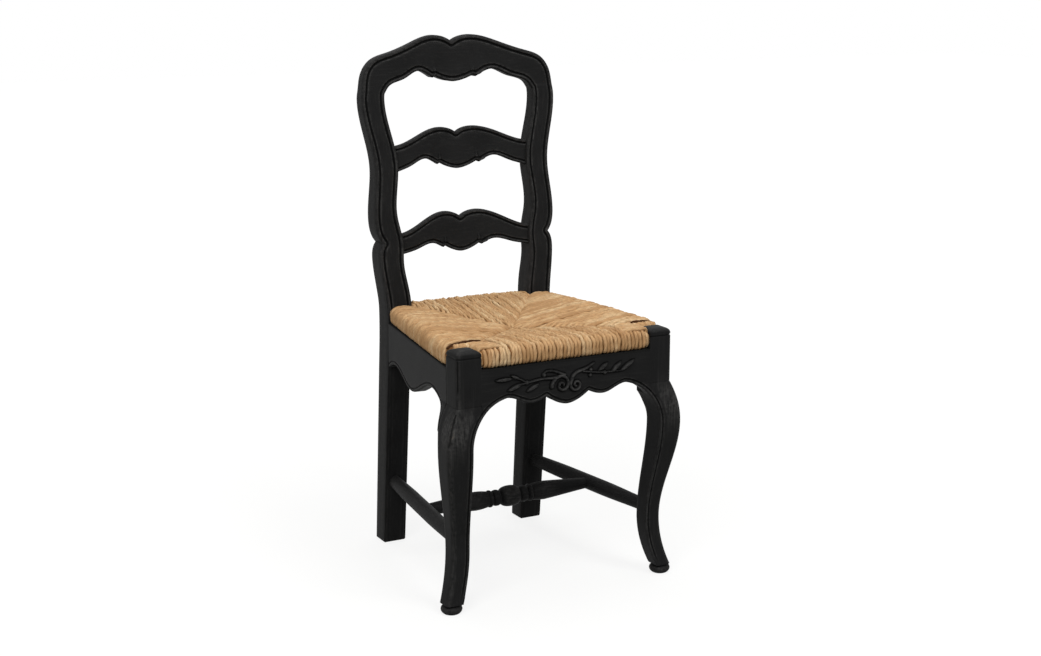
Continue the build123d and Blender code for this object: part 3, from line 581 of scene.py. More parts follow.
SCROLLS = [                  # eye, first and last radius, growth, turns, angle at the end, sense, width
    ((-13.0, 395.9), 3.0, 20.5, 1.6, 1.55, 185, 1, 6.4),
    ((15.6, 393.4), 2.0, 12.2, 1.0, 1.35, 140, -1, 5.8),
]
STEMS = [                    # stems and scroll tails: points, width
    ([(6.0, 400.0), (9.4, 409.3), (19.5, 416.1), (35.3, 420.3), (52.0, 428.0)], 7.0),
    ([(30.0, 415.5), (52.0, 411.5), (78.0, 409.0), (107.0, 407.8)], 3.4),
    ([(-7.5, 413.3), (-23.3, 420.5), (-38.9, 424.0), (-47.0, 422.6), (-50.0, 418.0)], 5.0),
    ([(-20.0, 410.5), (-32.0, 410.2), (-50.0, 411.3), (-67.6, 409.8), (-83.0, 407.7), (-97.0, 406.5)], 5.4),
    ([(-83.0, 407.7), (-98.0, 416.5), (-113.0, 418.7)], 3.2),
]
LEAVES = [                   # laurel leaves of the two sprays: stem end, tip, width
    ((61.5, 413.2), (81.0, 425.8), 6.8), ((88.3, 407.5), (109.0, 424.7), 7.2),
    ((107.0, 407.5), (137.0, 425.6), 7.4), ((-93.0, 407.0), (-121.0, 397.4), 7.2),
    ((-59.5, 403.4), (-84.0, 391.8), 7.0), ((-112.0, 418.5), (-145.0, 418.0), 6.0),
    ((-97.0, 416.5), (-115.0, 424.0), 4.6),
]
BERRIES = [                  # place, radius
    (-49.0, 417.6, 4.0), (-83.0, 407.7, 4.0), (45.6, 417.0, 3.4), (44.6, 407.0, 3.4), (74.4, 408.3, 3.6),
]
SCROLL_RISE = 5.0            # heights of the carving
STEM_RISE = 3.8
LEAF_RISE = 4.8
BERRY_RISE = 4.2
VEIN = 1.2                   # width and depth of the groove along a leaf
GROUND_WIDTH = 3.0           # the ground is cut round the carving this far out and this deep, and carries painted shade as far out
GROUND_DEPTH = 1.0


def carving(plan):
    """Relief of the front apron: two scrolls, a laurel spray on each side and painted shade on the cut ground
    around.
    """
    height = np.zeros(plan.shape[:-1])
    free = np.full(plan.shape[:-1], 99.0)

    def lay(raised, clear):
        np.maximum(height, raised, out=height)
        np.minimum(free, clear, out=free)

    for *scroll, width in SCROLLS:
        lay(*ridge(volute(*scroll), plan, width, SCROLL_RISE, lambda t: 0.6 + 0.4 * t))
    for points, width in STEMS:
        lay(*ridge(points, plan, width, STEM_RISE, lambda t: 1.0 - 0.55 * t))
    for stem, tip, width in LEAVES:
        blade, clear = ridge([stem, tip], plan, width, LEAF_RISE,
                             lambda t: np.sin(math.pi * (0.06 + 0.94 * t)) ** 0.8)
        vein, _ = ridge([stem, tip], plan, VEIN, VEIN, lambda t: 1.0 - 0.5 * t)
        lay(np.maximum(blade - vein, 0.0), clear)
    for x, z, radius in BERRIES:
        gap = np.hypot(plan[..., 0] - x, plan[..., 1] - z)
        lay(BERRY_RISE * np.sqrt(np.clip(1 - (gap / radius) ** 2, 0, 1)), gap - radius)
    cut = 1 - smoothstep(np.maximum(free, 0.0) / GROUND_WIDTH)
    # the cut ground is both sunk and darkened with painted shade
    ground = (height <= 0) * cut
    return height - GROUND_DEPTH * ground, ground


def flush_bead():
    """A narrow bead cut along an edge of a face that is level with the bead's top."""
    narrow = scaled(EDGE_BEAD, 0.72, 0.66)
    sunk = narrow[-1][1]
    crown = min(range(len(narrow)), key=lambda k: narrow[k][1])
    return [(d, e if k <= crown else max(0.0, e - sunk), wear_and_highlight, painted_shade_and_crack)
            for k, (d, e, wear_and_highlight, painted_shade_and_crack) in enumerate(narrow)]


def front_apron(material):
    x = np.append(np.arange(0, BLOCK_IN, 0.9), BLOCK_IN)
    upper = both_sides(line_of(x, SEAT_UNDER - SEAT_GAP))
    lower = both_sides(line_of(x, at_x(front_apron_edge(), x)))

    def place(u, v, depth):
        forward = ear_swell(knee_overhang(v)[1], BLOCK_IN - np.abs(u), depth)
        return np.stack([u, depth - BLOCK_HALF - forward, v], axis=-1)

    board = moulded_board(upper, lower, place, SHADED_EDGE, flush_bead(), APRON_THICKNESS, field=72,
                          relief=carving, lower_edge=both_sides(inside_edge()))
    make_piece("carved_front_apron", board, material, ["front_apron"])


def side_aprons(material):
    """Aprons from the leg blocks to the posts. u runs along the outer face from the block."""
    along = np.array([POST_OUT - BLOCK_OUT, SEAT_DEPTH - BLOCK_HALF])
    stretch = np.linalg.norm(along) / along[1]
    along = along / np.linalg.norm(along)
    inward = np.array([-along[1], along[0]])
    arch_y = KNEE_BACK + KNEE_HOLLOW
    wave = smooth_curve([(SEAT_DEPTH, 365), (311, 377), (228, 351), (arch_y, KNEE_Z + KNEE_HOLLOW)],
                        (-1, 0.8), (-1, 0))
    ear_y = np.arange(BLOCK_HALF - 4, arch_y, 1.0)
    edge = np.vstack([line_of(ear_y, hollow_edge(ear_y - KNEE_BACK)), wave[::-1]])
    y = np.concatenate([np.arange(BLOCK_HALF - 2, SEAT_DEPTH, 1.6), [SEAT_DEPTH, SEAT_DEPTH + 3]])
    u = (y - BLOCK_HALF) * stretch
    upper = line_of(u, SEAT_UNDER - SEAT_GAP + SEAT_SLOPE * (y + BLOCK_HALF))
    lower = line_of(u, np.interp(y, edge[:, 0], edge[:, 1]))
    leg = [((leg_sides(z)[3] - BLOCK_HALF) * stretch, z) for z in np.arange(280.0, 328.0, 3.0)]

    def place(u, v, depth):
        proud = depth - ear_swell(knee_overhang(v)[0], along[1] * u, depth)
        x = BLOCK_OUT + along[0] * u + inward[0] * proud
        return np.stack([x, BLOCK_HALF + along[1] * u + inward[1] * proud, v], axis=-1)

    board = moulded_board(upper, lower, place, SHADED_EDGE, flush_bead(), APRON_THICKNESS, field=12,
                          lower_edge=np.vstack([leg, lower]))
    make_pair("shaped_side_apron", board, material, "side_apron")


REAR_APRON_END = 58.0        # height of the rear apron at the posts
REAR_APRON_ARCH = 14.0       # how much less it is in the middle


def rear_apron(material):
    middle_y = SEAT_DEPTH + POST_THICKNESS / 2
    top = SEAT_UNDER + SEAT_SLOPE * (middle_y - APRON_THICKNESS / 2 + BLOCK_HALF) - SEAT_GAP
    x = np.linspace(-POST_IN - 3, POST_IN + 3, 90)
    arch = REAR_APRON_ARCH * (1 - np.clip(x / POST_IN, -1, 1) ** 2)

    def place(u, v, depth):
        return np.stack([u, middle_y - APRON_THICKNESS / 2 + depth, v], axis=-1)

    board = moulded_board(line_of(x, top), line_of(x, top - REAR_APRON_END + arch), place, EASED_EDGE,
                          EASED_EDGE, APRON_THICKNESS, field=5)
    make_piece("shaped_rear_apron", board, material, ["rear_apron"])


# Front legs

def corner_arc(x, y, radius, start, count):
    angle = np.radians(start + np.linspace(0, 90, count))
    return line_of(x + radius * np.cos(angle), y + radius * np.sin(angle))


BEAD_STATIONS = np.array([0.0, 0.3, 0.9, 1.7, 2.6, 3.5, 4.2, 4.8, 5.3, 5.8, 6.3, 6.8, 7.4, 8.2, 9.4])
CORNER_POINTS = 9
ARRIS_POINTS = 5


def leg_ring(z, inset):
    """Outline of the leg at height z from its inner front corner round by the outer one, how rubbed it is
    there, and how many of its points lie on the front."""
    outer, inner, front, rear = leg_sides(z)
    outer, inner, front, rear = outer - inset, inner + inset, front + inset, rear - inset
    corner = np.interp(z, [BROW_Z - 5, BROW_Z + 3], [LEG_CORNER, BLOCK_CORNER])
    stations = BEAD_STATIONS * min(1.0, (outer - inner) / 30.0)
    across = inner + np.concatenate([stations, np.linspace(stations[-1], outer - corner - inner, 9)[1:-1]])
    rounding = 0.45 * np.sin(np.linspace(0, math.pi, CORNER_POINTS))
    arris = np.full(ARRIS_POINTS, 0.5)
    side_in, side_out, behind = inner + REAR_ARRIS, outer - REAR_ARRIS, rear - REAR_ARRIS
    parts = [
        (line_of(across, front), np.zeros(len(across))),
        (corner_arc(outer - corner, front + corner, corner, 270, CORNER_POINTS), rounding),
        (line_of(outer, np.linspace(front + corner, behind, 8)[1:-1]), np.zeros(6)),
        (corner_arc(side_out, behind, REAR_ARRIS, 0, ARRIS_POINTS), arris),
        (line_of(np.linspace(side_out, side_in, 6)[1:-1], rear), np.zeros(4)),
        (corner_arc(side_in, behind, REAR_ARRIS, 90, ARRIS_POINTS), arris),
        (line_of(inner, np.linspace(behind, front + 4.0, 7)[1:]), np.zeros(6)),
    ]
    return np.vstack([part[0] for part in parts]), np.concatenate([part[1] for part in parts]), len(across)


FOOT_TURNING = [             # heights and radii of the pad foot
    (0.0, 14.0), (0.8, 15.2), (2.4, 17.0), (5.0, 18.8), (8.0, 19.5), (11.4, 18.7), (13.4, 16.6), (14.6, 14.4),
    (15.6, 14.2),
]
FOOT_WORN = 17.0             # radius from which the foot is rubbed
FOOT_SHADED = 14.0           # height from which the foot is painted in the shin's shade
CAP_STEPS = [                # heights and insets of the block's cap
    (459.8, 0.0), (460.6, 0.1), (461.2, 0.6), (462.0, 1.0), (462.8, 0.9), (463.5, 0.4), (464.2, 0.1),
    (466.0, 0.0), (468.0, 0.3), (469.8, 1.0), (471.4, 2.2), (472.8, 4.2), (473.9, 7.2), (474.6, 10.5),
    (474.9, 13.5), (BLOCK_TOP, 16.5),
]
CAP_GROOVE = (461.0, 463.2)
CAP_WORN = 2.0               # inset from which the cap is rubbed
BROW_LINE = [(375.0, 0.0), (375.7, 0.25), (376.4, 0.3), (377.2, 0.0)]
BEAD_FOOT = 18.0             # the bead down the leg fades in from here
BEAD_GROWTH = 30.0
BEAD_TOP = BLOCK_TOP - 60
WORN_KNEE = 335.0            # where the knee is rubbed most, and how far up and down
WORN_REACH = 34.0
CRACKS = [(404.0, 460.0), (312.0, 368.0)]   # heights of the cracks in the left leg


def front_legs(material):
    """Cabriole legs: turned foot, shin, knee and block in one skin, with the apron's bead down the inside."""
    heights = np.concatenate([
        np.arange(FOOT_HEIGHT, 330.0, 5.0), np.arange(330.0, 374.5, 1.2), np.arange(379.0, 459.0, 6.0),
    ])
    levels = sorted([(z, 0.0) for z in heights] + BROW_LINE + CAP_STEPS)
    edge = inside_edge()
    bead = np.array(flush_bead())
    rings, wears_and_highlights, painted_shades, cracks = [], [], [], []

    def add_ring(plan, z, wear_and_highlight, painted_shade_and_crack):
        rings.append(np.column_stack([BLOCK_X + plan[:, 0], plan[:, 1], np.full(len(plan), z)]))
        wears_and_highlights.append(wear_and_highlight)
        painted_shades.append(painted_shade_and_crack)
        cracks.append(np.zeros(len(plan)))

    square, _, _ = leg_ring(FOOT_HEIGHT, 0.0)
    around = square - [FOOT_OUT, FOOT_BACK]
    around = around / np.linalg.norm(around, axis=1)[:, None]
    for z, radius in FOOT_TURNING:
        add_ring(around * radius + [FOOT_OUT, FOOT_BACK], z, np.full(len(square), 0.5 * (radius > FOOT_WORN)),
                 np.full(len(square), float(z > FOOT_SHADED)))
    for z, inset in levels:
        plan, wear_and_highlight, count = leg_ring(z, inset)
        painted_shade_and_crack = np.zeros(len(plan))
        if z < BEAD_TOP:
            gap, _ = distance_to_line(line_of(BLOCK_X + plan[:count, 0], z), edge)
            strength = smoothstep((z - BEAD_FOOT) / BEAD_GROWTH)
            depth, wear_and_highlight[:count], painted_shade_and_crack[:count] = (
                np.interp(gap, bead[:, 0], bead[:, k], right=0.0) * strength for k in (1, 2, 3)
            )
            plan[:count, 1] += depth
        wear_and_highlight[count - 6:count + CORNER_POINTS + 4] += 0.95 * math.exp(-((z - WORN_KNEE) / WORN_REACH) ** 2)
        # painted shade in the cap's groove, along the brow line and at a step of the cap
        painted_shade_and_crack += 0.9 * (CAP_GROOVE[0] < z < CAP_GROOVE[1]) + 0.35 * (0.2 < inset < 0.4)
        add_ring(plan, z, wear_and_highlight + 0.15 * (inset > CAP_WORN), painted_shade_and_crack)
        middle = count + CORNER_POINTS // 2
        cracks[-1][middle:middle + 2] = float(any(low < z < high for low, high in CRACKS))
    verts, faces = skin(rings)
    wear_and_highlight, painted_shade_and_crack, crack = (np.concatenate([*shares, np.zeros(2)]) for shares in (wears_and_highlights, painted_shades, cracks))
    right = (verts, faces, {"wear_and_highlight": wear_and_highlight, "painted_shade_and_crack": painted_shade_and_crack})
    left = in_mirror(verts, faces, {"wear_and_highlight": wear_and_highlight, "painted_shade_and_crack": painted_shade_and_crack + crack})
    for side, shape in (("right", right), ("left", left)):
        make_piece("cabriole_leg_" + side, shape, material, ["front_leg_" + side])


# Stretchers

def turned(start, end, profile, sides=44):
    """Skin of a turning from start to end. The profile is a list of (share of the length, radius)."""
    start, end = np.asarray(start, float), np.asarray(end, float)
    axis = (end - start) / np.linalg.norm(end - start)
    side = np.cross(axis, [0, 0, 1.0])
    side /= np.linalg.norm(side)
    up = np.cross(side, axis)
    angle = np.linspace(0, 2 * math.pi, sides, endpoint=False)
    circle = np.cos(angle)[:, None] * side + np.sin(angle)[:, None] * up
    return skin([start + (end - start) * t + circle * radius for t, radius in profile])


def stretcher_ends():
    """Axis of the right-hand side stretcher, from the middle of the leg to the middle of the post."""
    outer, inner, front, rear = leg_sides(STRETCHER_Z)
    start = np.array([BLOCK_X + (outer + inner) / 2, (front + rear) / 2, STRETCHER_Z])
    end = np.array([POST_X, float(post_front(STRETCHER_Z)) + POST_THICKNESS / 2, STRETCHER_Z])
    return start, end


def side_stretchers(material):
    t = np.linspace(0, 1, 60)
    radius = 12.0 + 2.5 * smoothstep(np.minimum(t, 1 - t) / 0.36)
    verts, faces = turned(*stretcher_ends(), list(zip(t, radius)))
    attributes = {"wear_and_highlight": 0.12 * np.ones(len(verts)), "painted_shade_and_crack": np.zeros(len(verts))}
    make_pair("turned_side_stretcher", (verts, faces, attributes), material, "side_stretcher")


def rounded(first, last, groove, full, count=9):
    """A bead turned between two places along the axis, rising from a groove."""
    angle = np.linspace(0, math.pi, count)
    place = (first + last) / 2 - (last - first) / 2 * np.cos(angle)
    return list(zip(place, groove + (full - groove) * np.sin(angle)))


CROSS_Y = 199.0              # the cross stretcher's place, and the shapes of its turning from the middle out
BALL_HALF = 19.0
BALL_NECK = 12.5
BALL_RISE = 7.5
ARM_START = 47.2


def cross_stretcher(material):
    """Turned stretcher: a ball in the middle, then bead, ring and a long tapered arm each way."""
    start, end = stretcher_ends()
    half = start[0] + (end[0] - start[0]) * (CROSS_Y - start[1]) / (end[1] - start[1])
    right = [(s, BALL_NECK + BALL_RISE * math.sqrt(max(0.0, 1 - (s / BALL_HALF) ** 2.2)))
             for s in np.linspace(0, BALL_HALF, 14)]
    right += [(20.5, 12.0), (22.0, 12.5), *rounded(22.4, 35.8, 12.5, 15.5)]
    right += [(37.5, 12.0), (39.0, 12.7), *rounded(39.3, 46.6, 13.5, 16.5)]
    arm = np.linspace(ARM_START, half, 26)
    swell = np.interp(arm, [ARM_START, 60.0, 73.0, 95.0, half - 20, half],
                      [15.0, 17.2, 18.0, 16.4, 11.2, 10.0])
    right += list(zip(arm, swell))
    profile = [(0.5 - s / (2 * half), r) for s, r in right[:0:-1]]
    profile += [(0.5 + s / (2 * half), r) for s, r in right]
    verts, faces = turned((-half, CROSS_Y, STRETCHER_Z), (half, CROSS_Y, STRETCHER_Z), profile)
    radius = np.hypot(verts[:, 1] - CROSS_Y, verts[:, 2] - STRETCHER_Z)
    # painted shade in the grooves of the turning beside the ball and beads
    grooves = smoothstep((12.9 - radius) / 0.8) * (np.abs(verts[:, 0]) < 60)
    turning = (verts, faces, {"wear_and_highlight": 0.5 * smoothstep((radius - 15.0) / 4.0), "painted_shade_and_crack": grooves})
    make_piece("turned_cross_stretcher", turning, material, ["cross_stretcher"])


# Rush seat. Every strand is drawn as a line of points; one node tree turns the lines into twisted strands.

STRAND = 7.4                 # from strand to strand
REAR_STRAND = 5.9            # closer at the back, where as many strands have less room
STRAND_DIAMETER = 8.4
REAR_DIAMETER = 0.84 * STRAND_DIAMETER
TWIST = 38.0                 # length in which a strand turns once
FLATNESS = 0.8               # a strand's thickness beside its width
STRAND_STEP = 3.0            # length of a strand's mesh faces, and their number round it
STRAND_SIDES = 8
SLACK = 1.5                  # spread of where the loose strands end, of their heights and of their slants
UNEVEN = 0.6
LEAN = 1.4
WAVE = (26.0, 50.0)          # shortest and longest wave of a loose strand
WAVE_WIDTH = 0.9             # how far it waves sideways and up
WAVE_HEIGHT = 0.7
SINK = 3.0                   # how far a strand sinks between the others towards its end, and over what length
SINK_LENGTH = 14.0
DEEP = 0.42 * STRAND_DIAMETER   # a strand's middle below the top of the rush
LINING_DEEP = DEEP + 1.4
LINING_PITCH = 9.0
LINING_LAP = 2.5             # how far the linings of two panels run into each other at a seam
ROLL = 36.0                  # height of the seat's rolled edge
ROLL_TOP = 16.0              # roundings of the roll, above and below
ROLL_FOOT = 10.0
FRONT_EDGE = -BLOCK_HALF - 1.0
REAR_EDGE = SEAT_DEPTH + 34.5
APEX_Y = 184.0               # where the four seams meet
DIP = 19.0                   # fall of the seat from its edge to there
FALL_START = 12.0            # the fall runs from here inwards, over this length
FALL_LENGTH = 190.0
SIDE_CROWN = 3.6             # how much higher the side and rear rolls are in their middle
REAR_CROWN = 0.8
CROWN_WIDTH = 90.0
REAR_SAG = 3.0               # how far the rear has sunk
ROLL_END = 15.0              # rounding of the end of a roll
BAND_FRONT = -12.0           # short strands that fill the corner beside each leg block
BAND_REAR = 41.0
BAND_END = 125.0
SLIT_LEFT = (BLOCK_HALF + 7.0, 0.31)    # slit behind a block: its outer end, and how much it slants back
SLIT_RIGHT = (BLOCK_HALF + 14.5, 0.16)
SHORT_PITCH = 4.7            # between the short strands behind a block
UNDER_POINTS = 16            # points on a strand under the seat, round each bend and on top
BEND_POINTS = 6
TOP_POINTS = 30


def seat_under(y):
    return SEAT_UNDER + SEAT_SLOPE * (y + BLOCK_HALF)


def seat_side(y):
    """Half-width of the rush at depth y."""
    return BLOCK_OUT + (POST_OUT - BLOCK_OUT) * (y - BLOCK_HALF) / (SEAT_DEPTH - BLOCK_HALF)


def side_crown(y):
    """How much fuller a side roll is at depth y than at its ends, from 0 to 1."""
    t = np.clip((y - BLOCK_HALF) / (SEAT_DEPTH - BLOCK_HALF), 0, 1)
    return 4 * np.sqrt(t) * (1 - np.sqrt(t))


def seat_top(x, y):
    """Height of the top of the rush: rolled edges that are fuller in the middle, a shallow dip to the apex
    and a rear that has sunk a little."""
    from_side = seat_side(y) - np.abs(x)
    inward = np.minimum(np.minimum(y - FRONT_EDGE, REAR_EDGE - y), from_side)
    dip = DIP * smoothstep((inward - FALL_START) / FALL_LENGTH) ** 1.2
    crown = SIDE_CROWN * side_crown(y) * (1 - smoothstep(from_side / CROWN_WIDTH))
    across = np.clip(1 - (x / POST_IN) ** 2, 0, 1)
    crown = crown + REAR_CROWN * across * (1 - smoothstep((REAR_EDGE - y) / CROWN_WIDTH))
    sunk = REAR_SAG * smoothstep((y - 150.0) / 220.0)
    return seat_under(y) + ROLL - dip + crown - sunk


def seam_y(x):
    """Front and rear seam at x: straight from the block and post corners to the apex."""
    front = BLOCK_HALF + (APEX_Y - BLOCK_HALF) * (1 - np.abs(x) / BLOCK_IN)
    rear = SEAT_DEPTH - (SEAT_DEPTH - APEX_Y) * (1 - np.abs(x) / POST_IN)
    return front, rear


def seam_x(y):
    """Half-width of the seat between its side panels at depth y."""
    front = BLOCK_IN * (APEX_Y - y) / (APEX_Y - BLOCK_HALF)
    rear = POST_IN * (y - APEX_Y) / (SEAT_DEPTH - APEX_Y)
    return np.where(y < APEX_Y, front, rear)


def slit_of(side):
    return SLIT_RIGHT if side > 0 else SLIT_LEFT


def drift(x, y):
    """Slow sideways wander that neighbouring strands share, so that they never cross."""
    broad = 1.7 * np.sin(x / 23.0 + 1.3) * np.sin(y / 31.0 + 0.4)
    narrow = 1.1 * np.sin(x / 11.0 + y / 47.0) * np.sin(y / 17.0 - 1.0)
    return broad + narrow


def over_roll(reach_top, reach_under, deep):
    """Section of a strand over a roll: distances inwards, heights above the underside, shares of the top."""
    foot, top = ROLL_FOOT - deep, ROLL_TOP - deep
    angle = np.radians(np.linspace(0, 90, BEND_POINTS))
    inward = np.concatenate([
        np.linspace(reach_under, ROLL_FOOT, UNDER_POINTS), ROLL_FOOT - foot * np.sin(angle)[1:],
        ROLL_TOP - top * np.cos(angle), np.linspace(ROLL_TOP, reach_top, TOP_POINTS)[1:],
    ])
    height = np.concatenate([
        np.full(UNDER_POINTS, deep), ROLL_FOOT - foot * np.cos(angle)[1:],
        ROLL - ROLL_TOP + top * np.sin(angle), np.full(TOP_POINTS - 1, ROLL - deep),
    ])
    share = np.concatenate([
        np.zeros(UNDER_POINTS + BEND_POINTS - 1), smoothstep(np.linspace(0, 1, BEND_POINTS)),
        np.ones(TOP_POINTS - 1),
    ])
    return inward, height, share


def wound(edge, inward, reach_top, reach_under, deep, loose, from_end, lift=0.0):
    """A strand over the roll at a point of the seat's edge, running inwards on top and underneath.

    loose is 1 for a strand that wanders and whose end dives between the others, and 0 for the even lining
    below. from_end is its distance from the end of the roll, which is rounded, and lift raises it over its
    neighbours.
    """
    slack = rng.normal(0, SLACK) if loose else LINING_LAP
    e, h, share = over_roll(reach_top + slack, reach_under + slack, deep)
    at_end = (0.08 + 0.16 * loose) * (1 - smoothstep(from_end / ROLL_END))
    slim = at_end * (1 - smoothstep((e - 6.0) / 26.0))
    h = ROLL / 2 + (h - ROLL / 2) * (1 - np.where(h > ROLL / 2, slim, 0.4 * slim))
    sinking = SINK * share * smoothstep((e - reach_top + SINK_LENGTH) / SINK_LENGTH)
    x = edge[0] + inward[0] * (e + 16.0 * slim)
    y = edge[1] + inward[1] * (e + 16.0 * slim)
    fall = (seat_under(y) + ROLL - seat_top(x, y)) * share
    wave, phase, level = rng.uniform(*WAVE), rng.uniform(0, 2 * math.pi), rng.normal(0, UNEVEN)
    bend = 2 * math.pi * e / wave + phase
    held = smoothstep((e - 6.0) / 30.0) * smoothstep((max(reach_top, 1.0) - e) / 25.0)
    lean = rng.normal(0, LEAN) * (h / ROLL - 0.5) * (1 - smoothstep((e - 10.0) / 30.0))
    sideways = loose * (lean + held * (drift(x, y) + WAVE_WIDTH * np.sin(bend)))
    waving = level + WAVE_HEIGHT * np.sin(0.8 * bend + 1.0)
    upward = loose * share * waving + lift * share - sinking
    x = x + sideways * abs(inward[1])
    y = y + sideways * abs(inward[0])
    line = np.column_stack([x, y, seat_under(y) + h - fall + upward])
    if loose:
        tip = line[-1] + [2.0 * inward[0], 2.0 * inward[1], -6.0]
        line[-1, 2] -= 2.0
        line = np.vstack([line, tip])
    return line


def along_roll(first, last, pitch, loose):
    """Where strands lie along a roll, a little unevenly where they are loose."""
    if not loose:
        return np.linspace(first + 0.4, last - 0.4, int((last - first) / pitch))
    even = np.arange(first + pitch / 2, last, pitch)
    return even + pitch * rng.uniform(-0.16, 0.16, len(even))


def front_strands(deep, pitch, loose=1):
    """Strands over the front roll. Beside the blocks they dive where the corner's short strands cross."""
    lines = []
    pressed = BLOCK_IN + 1.2 * loose
    for x in along_roll(-pressed, pressed, pitch, loose):
        seam = seam_y(x)[0] - FRONT_EDGE
        crossed = loose and abs(x) > BAND_END - 2.0
        reach = BAND_FRONT - FRONT_EDGE + 5.0 if crossed else seam
        lines.append(wound((x, FRONT_EDGE), (0.0, 1.0), reach, seam, deep, loose, BLOCK_IN - abs(x)))
    return lines


def rear_strands(deep, pitch, loose=1):
    lines = []
    for x in along_roll(-POST_IN, POST_IN, pitch, loose):
        seam = REAR_EDGE - seam_y(x)[1]
        reach = seam - 5.0 * loose * (1 - smoothstep((POST_IN - abs(x)) / 55.0))
        lines.append(wound((x, REAR_EDGE), (0.0, -1.0), reach, seam, deep, loose, POST_IN - abs(x)))
    return lines


def side_strands(deep, pitch, side, loose=1):
    """Strands over a side roll, the first few slanted along the slit behind the leg block."""
    lines = []
    slit, steep = slit_of(side)
    first = slit if loose else BLOCK_HALF + 1.0
    for y in along_roll(first, SEAT_DEPTH, pitch, loose):
        slant = steep * (1 - smoothstep((y - 32.0) / 70.0))
        reach = seat_side(y) - float(seam_x(min(y + slant * 90.0, SEAT_DEPTH)))
        toward = np.array([-side, slant])
        edge = (side * (seat_side(y) + 3.0 * side_crown(y)), y)
        lift = 2.0 * loose * (1 - smoothstep((y - first) / 34.0))
        from_end = min(y - first + 8.0, SEAT_DEPTH - y)
        lines.append(wound(edge, toward, reach, reach, deep, loose, from_end, lift))
    return lines


def corner_strands(deep, pitch, side):
    """Short strands round a front leg block: across the seat beside it, and back from its rear face."""
    lines = []
    outer_end, steep = slit_of(side)
    near = BLOCK_IN - 1.5
    for y in np.arange(BAND_FRONT + pitch / 2, BAND_REAR + 4.5 * (1 + side), pitch):
        far = BAND_END + 2.0 + 0.19 * (y - BAND_FRONT)
        turned_down = [near + 0.5, near + 0.8, near, near - 1.8]
        x = np.concatenate([turned_down, np.linspace(near - 5.0, far, 12), [far - 3.0]])
        slanted = y + steep * (BLOCK_IN - x) * smoothstep((y - 8.0) / 24.0)
        top = seat_top(x, slanted) - deep
        drop = np.zeros_like(x)
        drop[:3] = (18.0, 9.0, 2.6)
        drop[-2:] = (1.2, 6.0)
        lift = 2.4 - 3.6 * smoothstep((y - 4.0) / 30.0)
        lines.append(np.column_stack([side * x, slanted + 0.5 * drift(x, slanted), top - drop + lift]))
    wedge = BAND_END + 2.4
    y = np.linspace(BAND_FRONT + 10.0, float(seam_y(wedge)[0]) - 4.0, 12)
    drop = 5.0 * np.abs(np.linspace(-1, 1, 12)) ** 6
    x = wedge + 0.1 * (y - y[0])
    lines.append(np.column_stack([side * x, y, seat_top(x, y) - deep - drop]))
    room = max(3.5, (BLOCK_HALF + 13.0 - outer_end) / steep)
    drop = np.array([16.0, 7.0, 2.2, 0.3, 0.0, 0.0, 1.4, 6.0])
    for x in np.arange(BLOCK_IN + 1.5, BLOCK_OUT - room, SHORT_PITCH):
        slit = outer_end - 4.0 + steep * (BLOCK_OUT - x)
        turned_down = BLOCK_HALF + np.array([2.6, 2.2, 2.8])
        y = np.concatenate([turned_down, np.linspace(BLOCK_HALF + 4.5, slit - 2.0, 4), [slit]])
        x_all = np.full_like(y, x)
        top = seat_top(x_all, y) - deep - 1.0 - 0.05 * max(0.0, 12.0 - BLOCK_OUT + x) ** 2
        lines.append(np.column_stack([side * x_all, y, top - drop]))
    return lines


def slit_strand(deep, side):
    """A strand of rush painted dark as shade, lying in the slit behind a front leg block, which gapes most at
    its inner end and runs longer on the left."""
    outer_end, steep = slit_of(side)
    t = np.linspace(0, 1, 18)
    x = BLOCK_OUT - 8.0 - (58.0 - 20.0 * side) * t
    y = outer_end - 1.4 + steep * (BLOCK_OUT - x)
    rise = 2.6 * smoothstep(t / 0.8) - 1.8 - 4.0 * np.abs(2 * t - 1) ** 8
    return np.column_stack([side * x, y, seat_top(x, y) - deep + rise])


def lining(material):
    """Close rush behind the strands: one wedge under each panel, so that no gap shows light."""
    panels = (
        front_strands(LINING_DEEP, LINING_PITCH, 0), rear_strands(LINING_DEEP, LINING_PITCH, 0),
        side_strands(LINING_DEEP, LINING_PITCH, 1, 0), side_strands(LINING_DEEP, LINING_PITCH, -1, 0),
    )
    verts, faces = [], []
    for lines in panels:
        v, f = skin(np.array(lines))
        faces += [tuple(k + len(verts) for k in face) for face in f]
        verts += v.tolist()
    make_piece("rush_lining", (verts, faces, {}), material, ["rush_stuffing"])


# Node trees

def plug(node, links):
    """Gives a node's inputs, by name or number, their values or other nodes' outputs."""
    for socket, value in links.items():
        if isinstance(value, bpy.types.NodeSocket):
            node.id_data.links.new(value, node.inputs[socket])
        else:
            node.inputs[socket].default_value = value


def add(tree, kind, links=None, out=0, **settings):
    """Adds a node with its settings and links, and returns one of its outputs."""
    node = tree.nodes.new(kind)
    for key, value in settings.items():
        setattr(node, key, value)
    plug(node, links or {})
    return node.outputs[out] if node.outputs else None


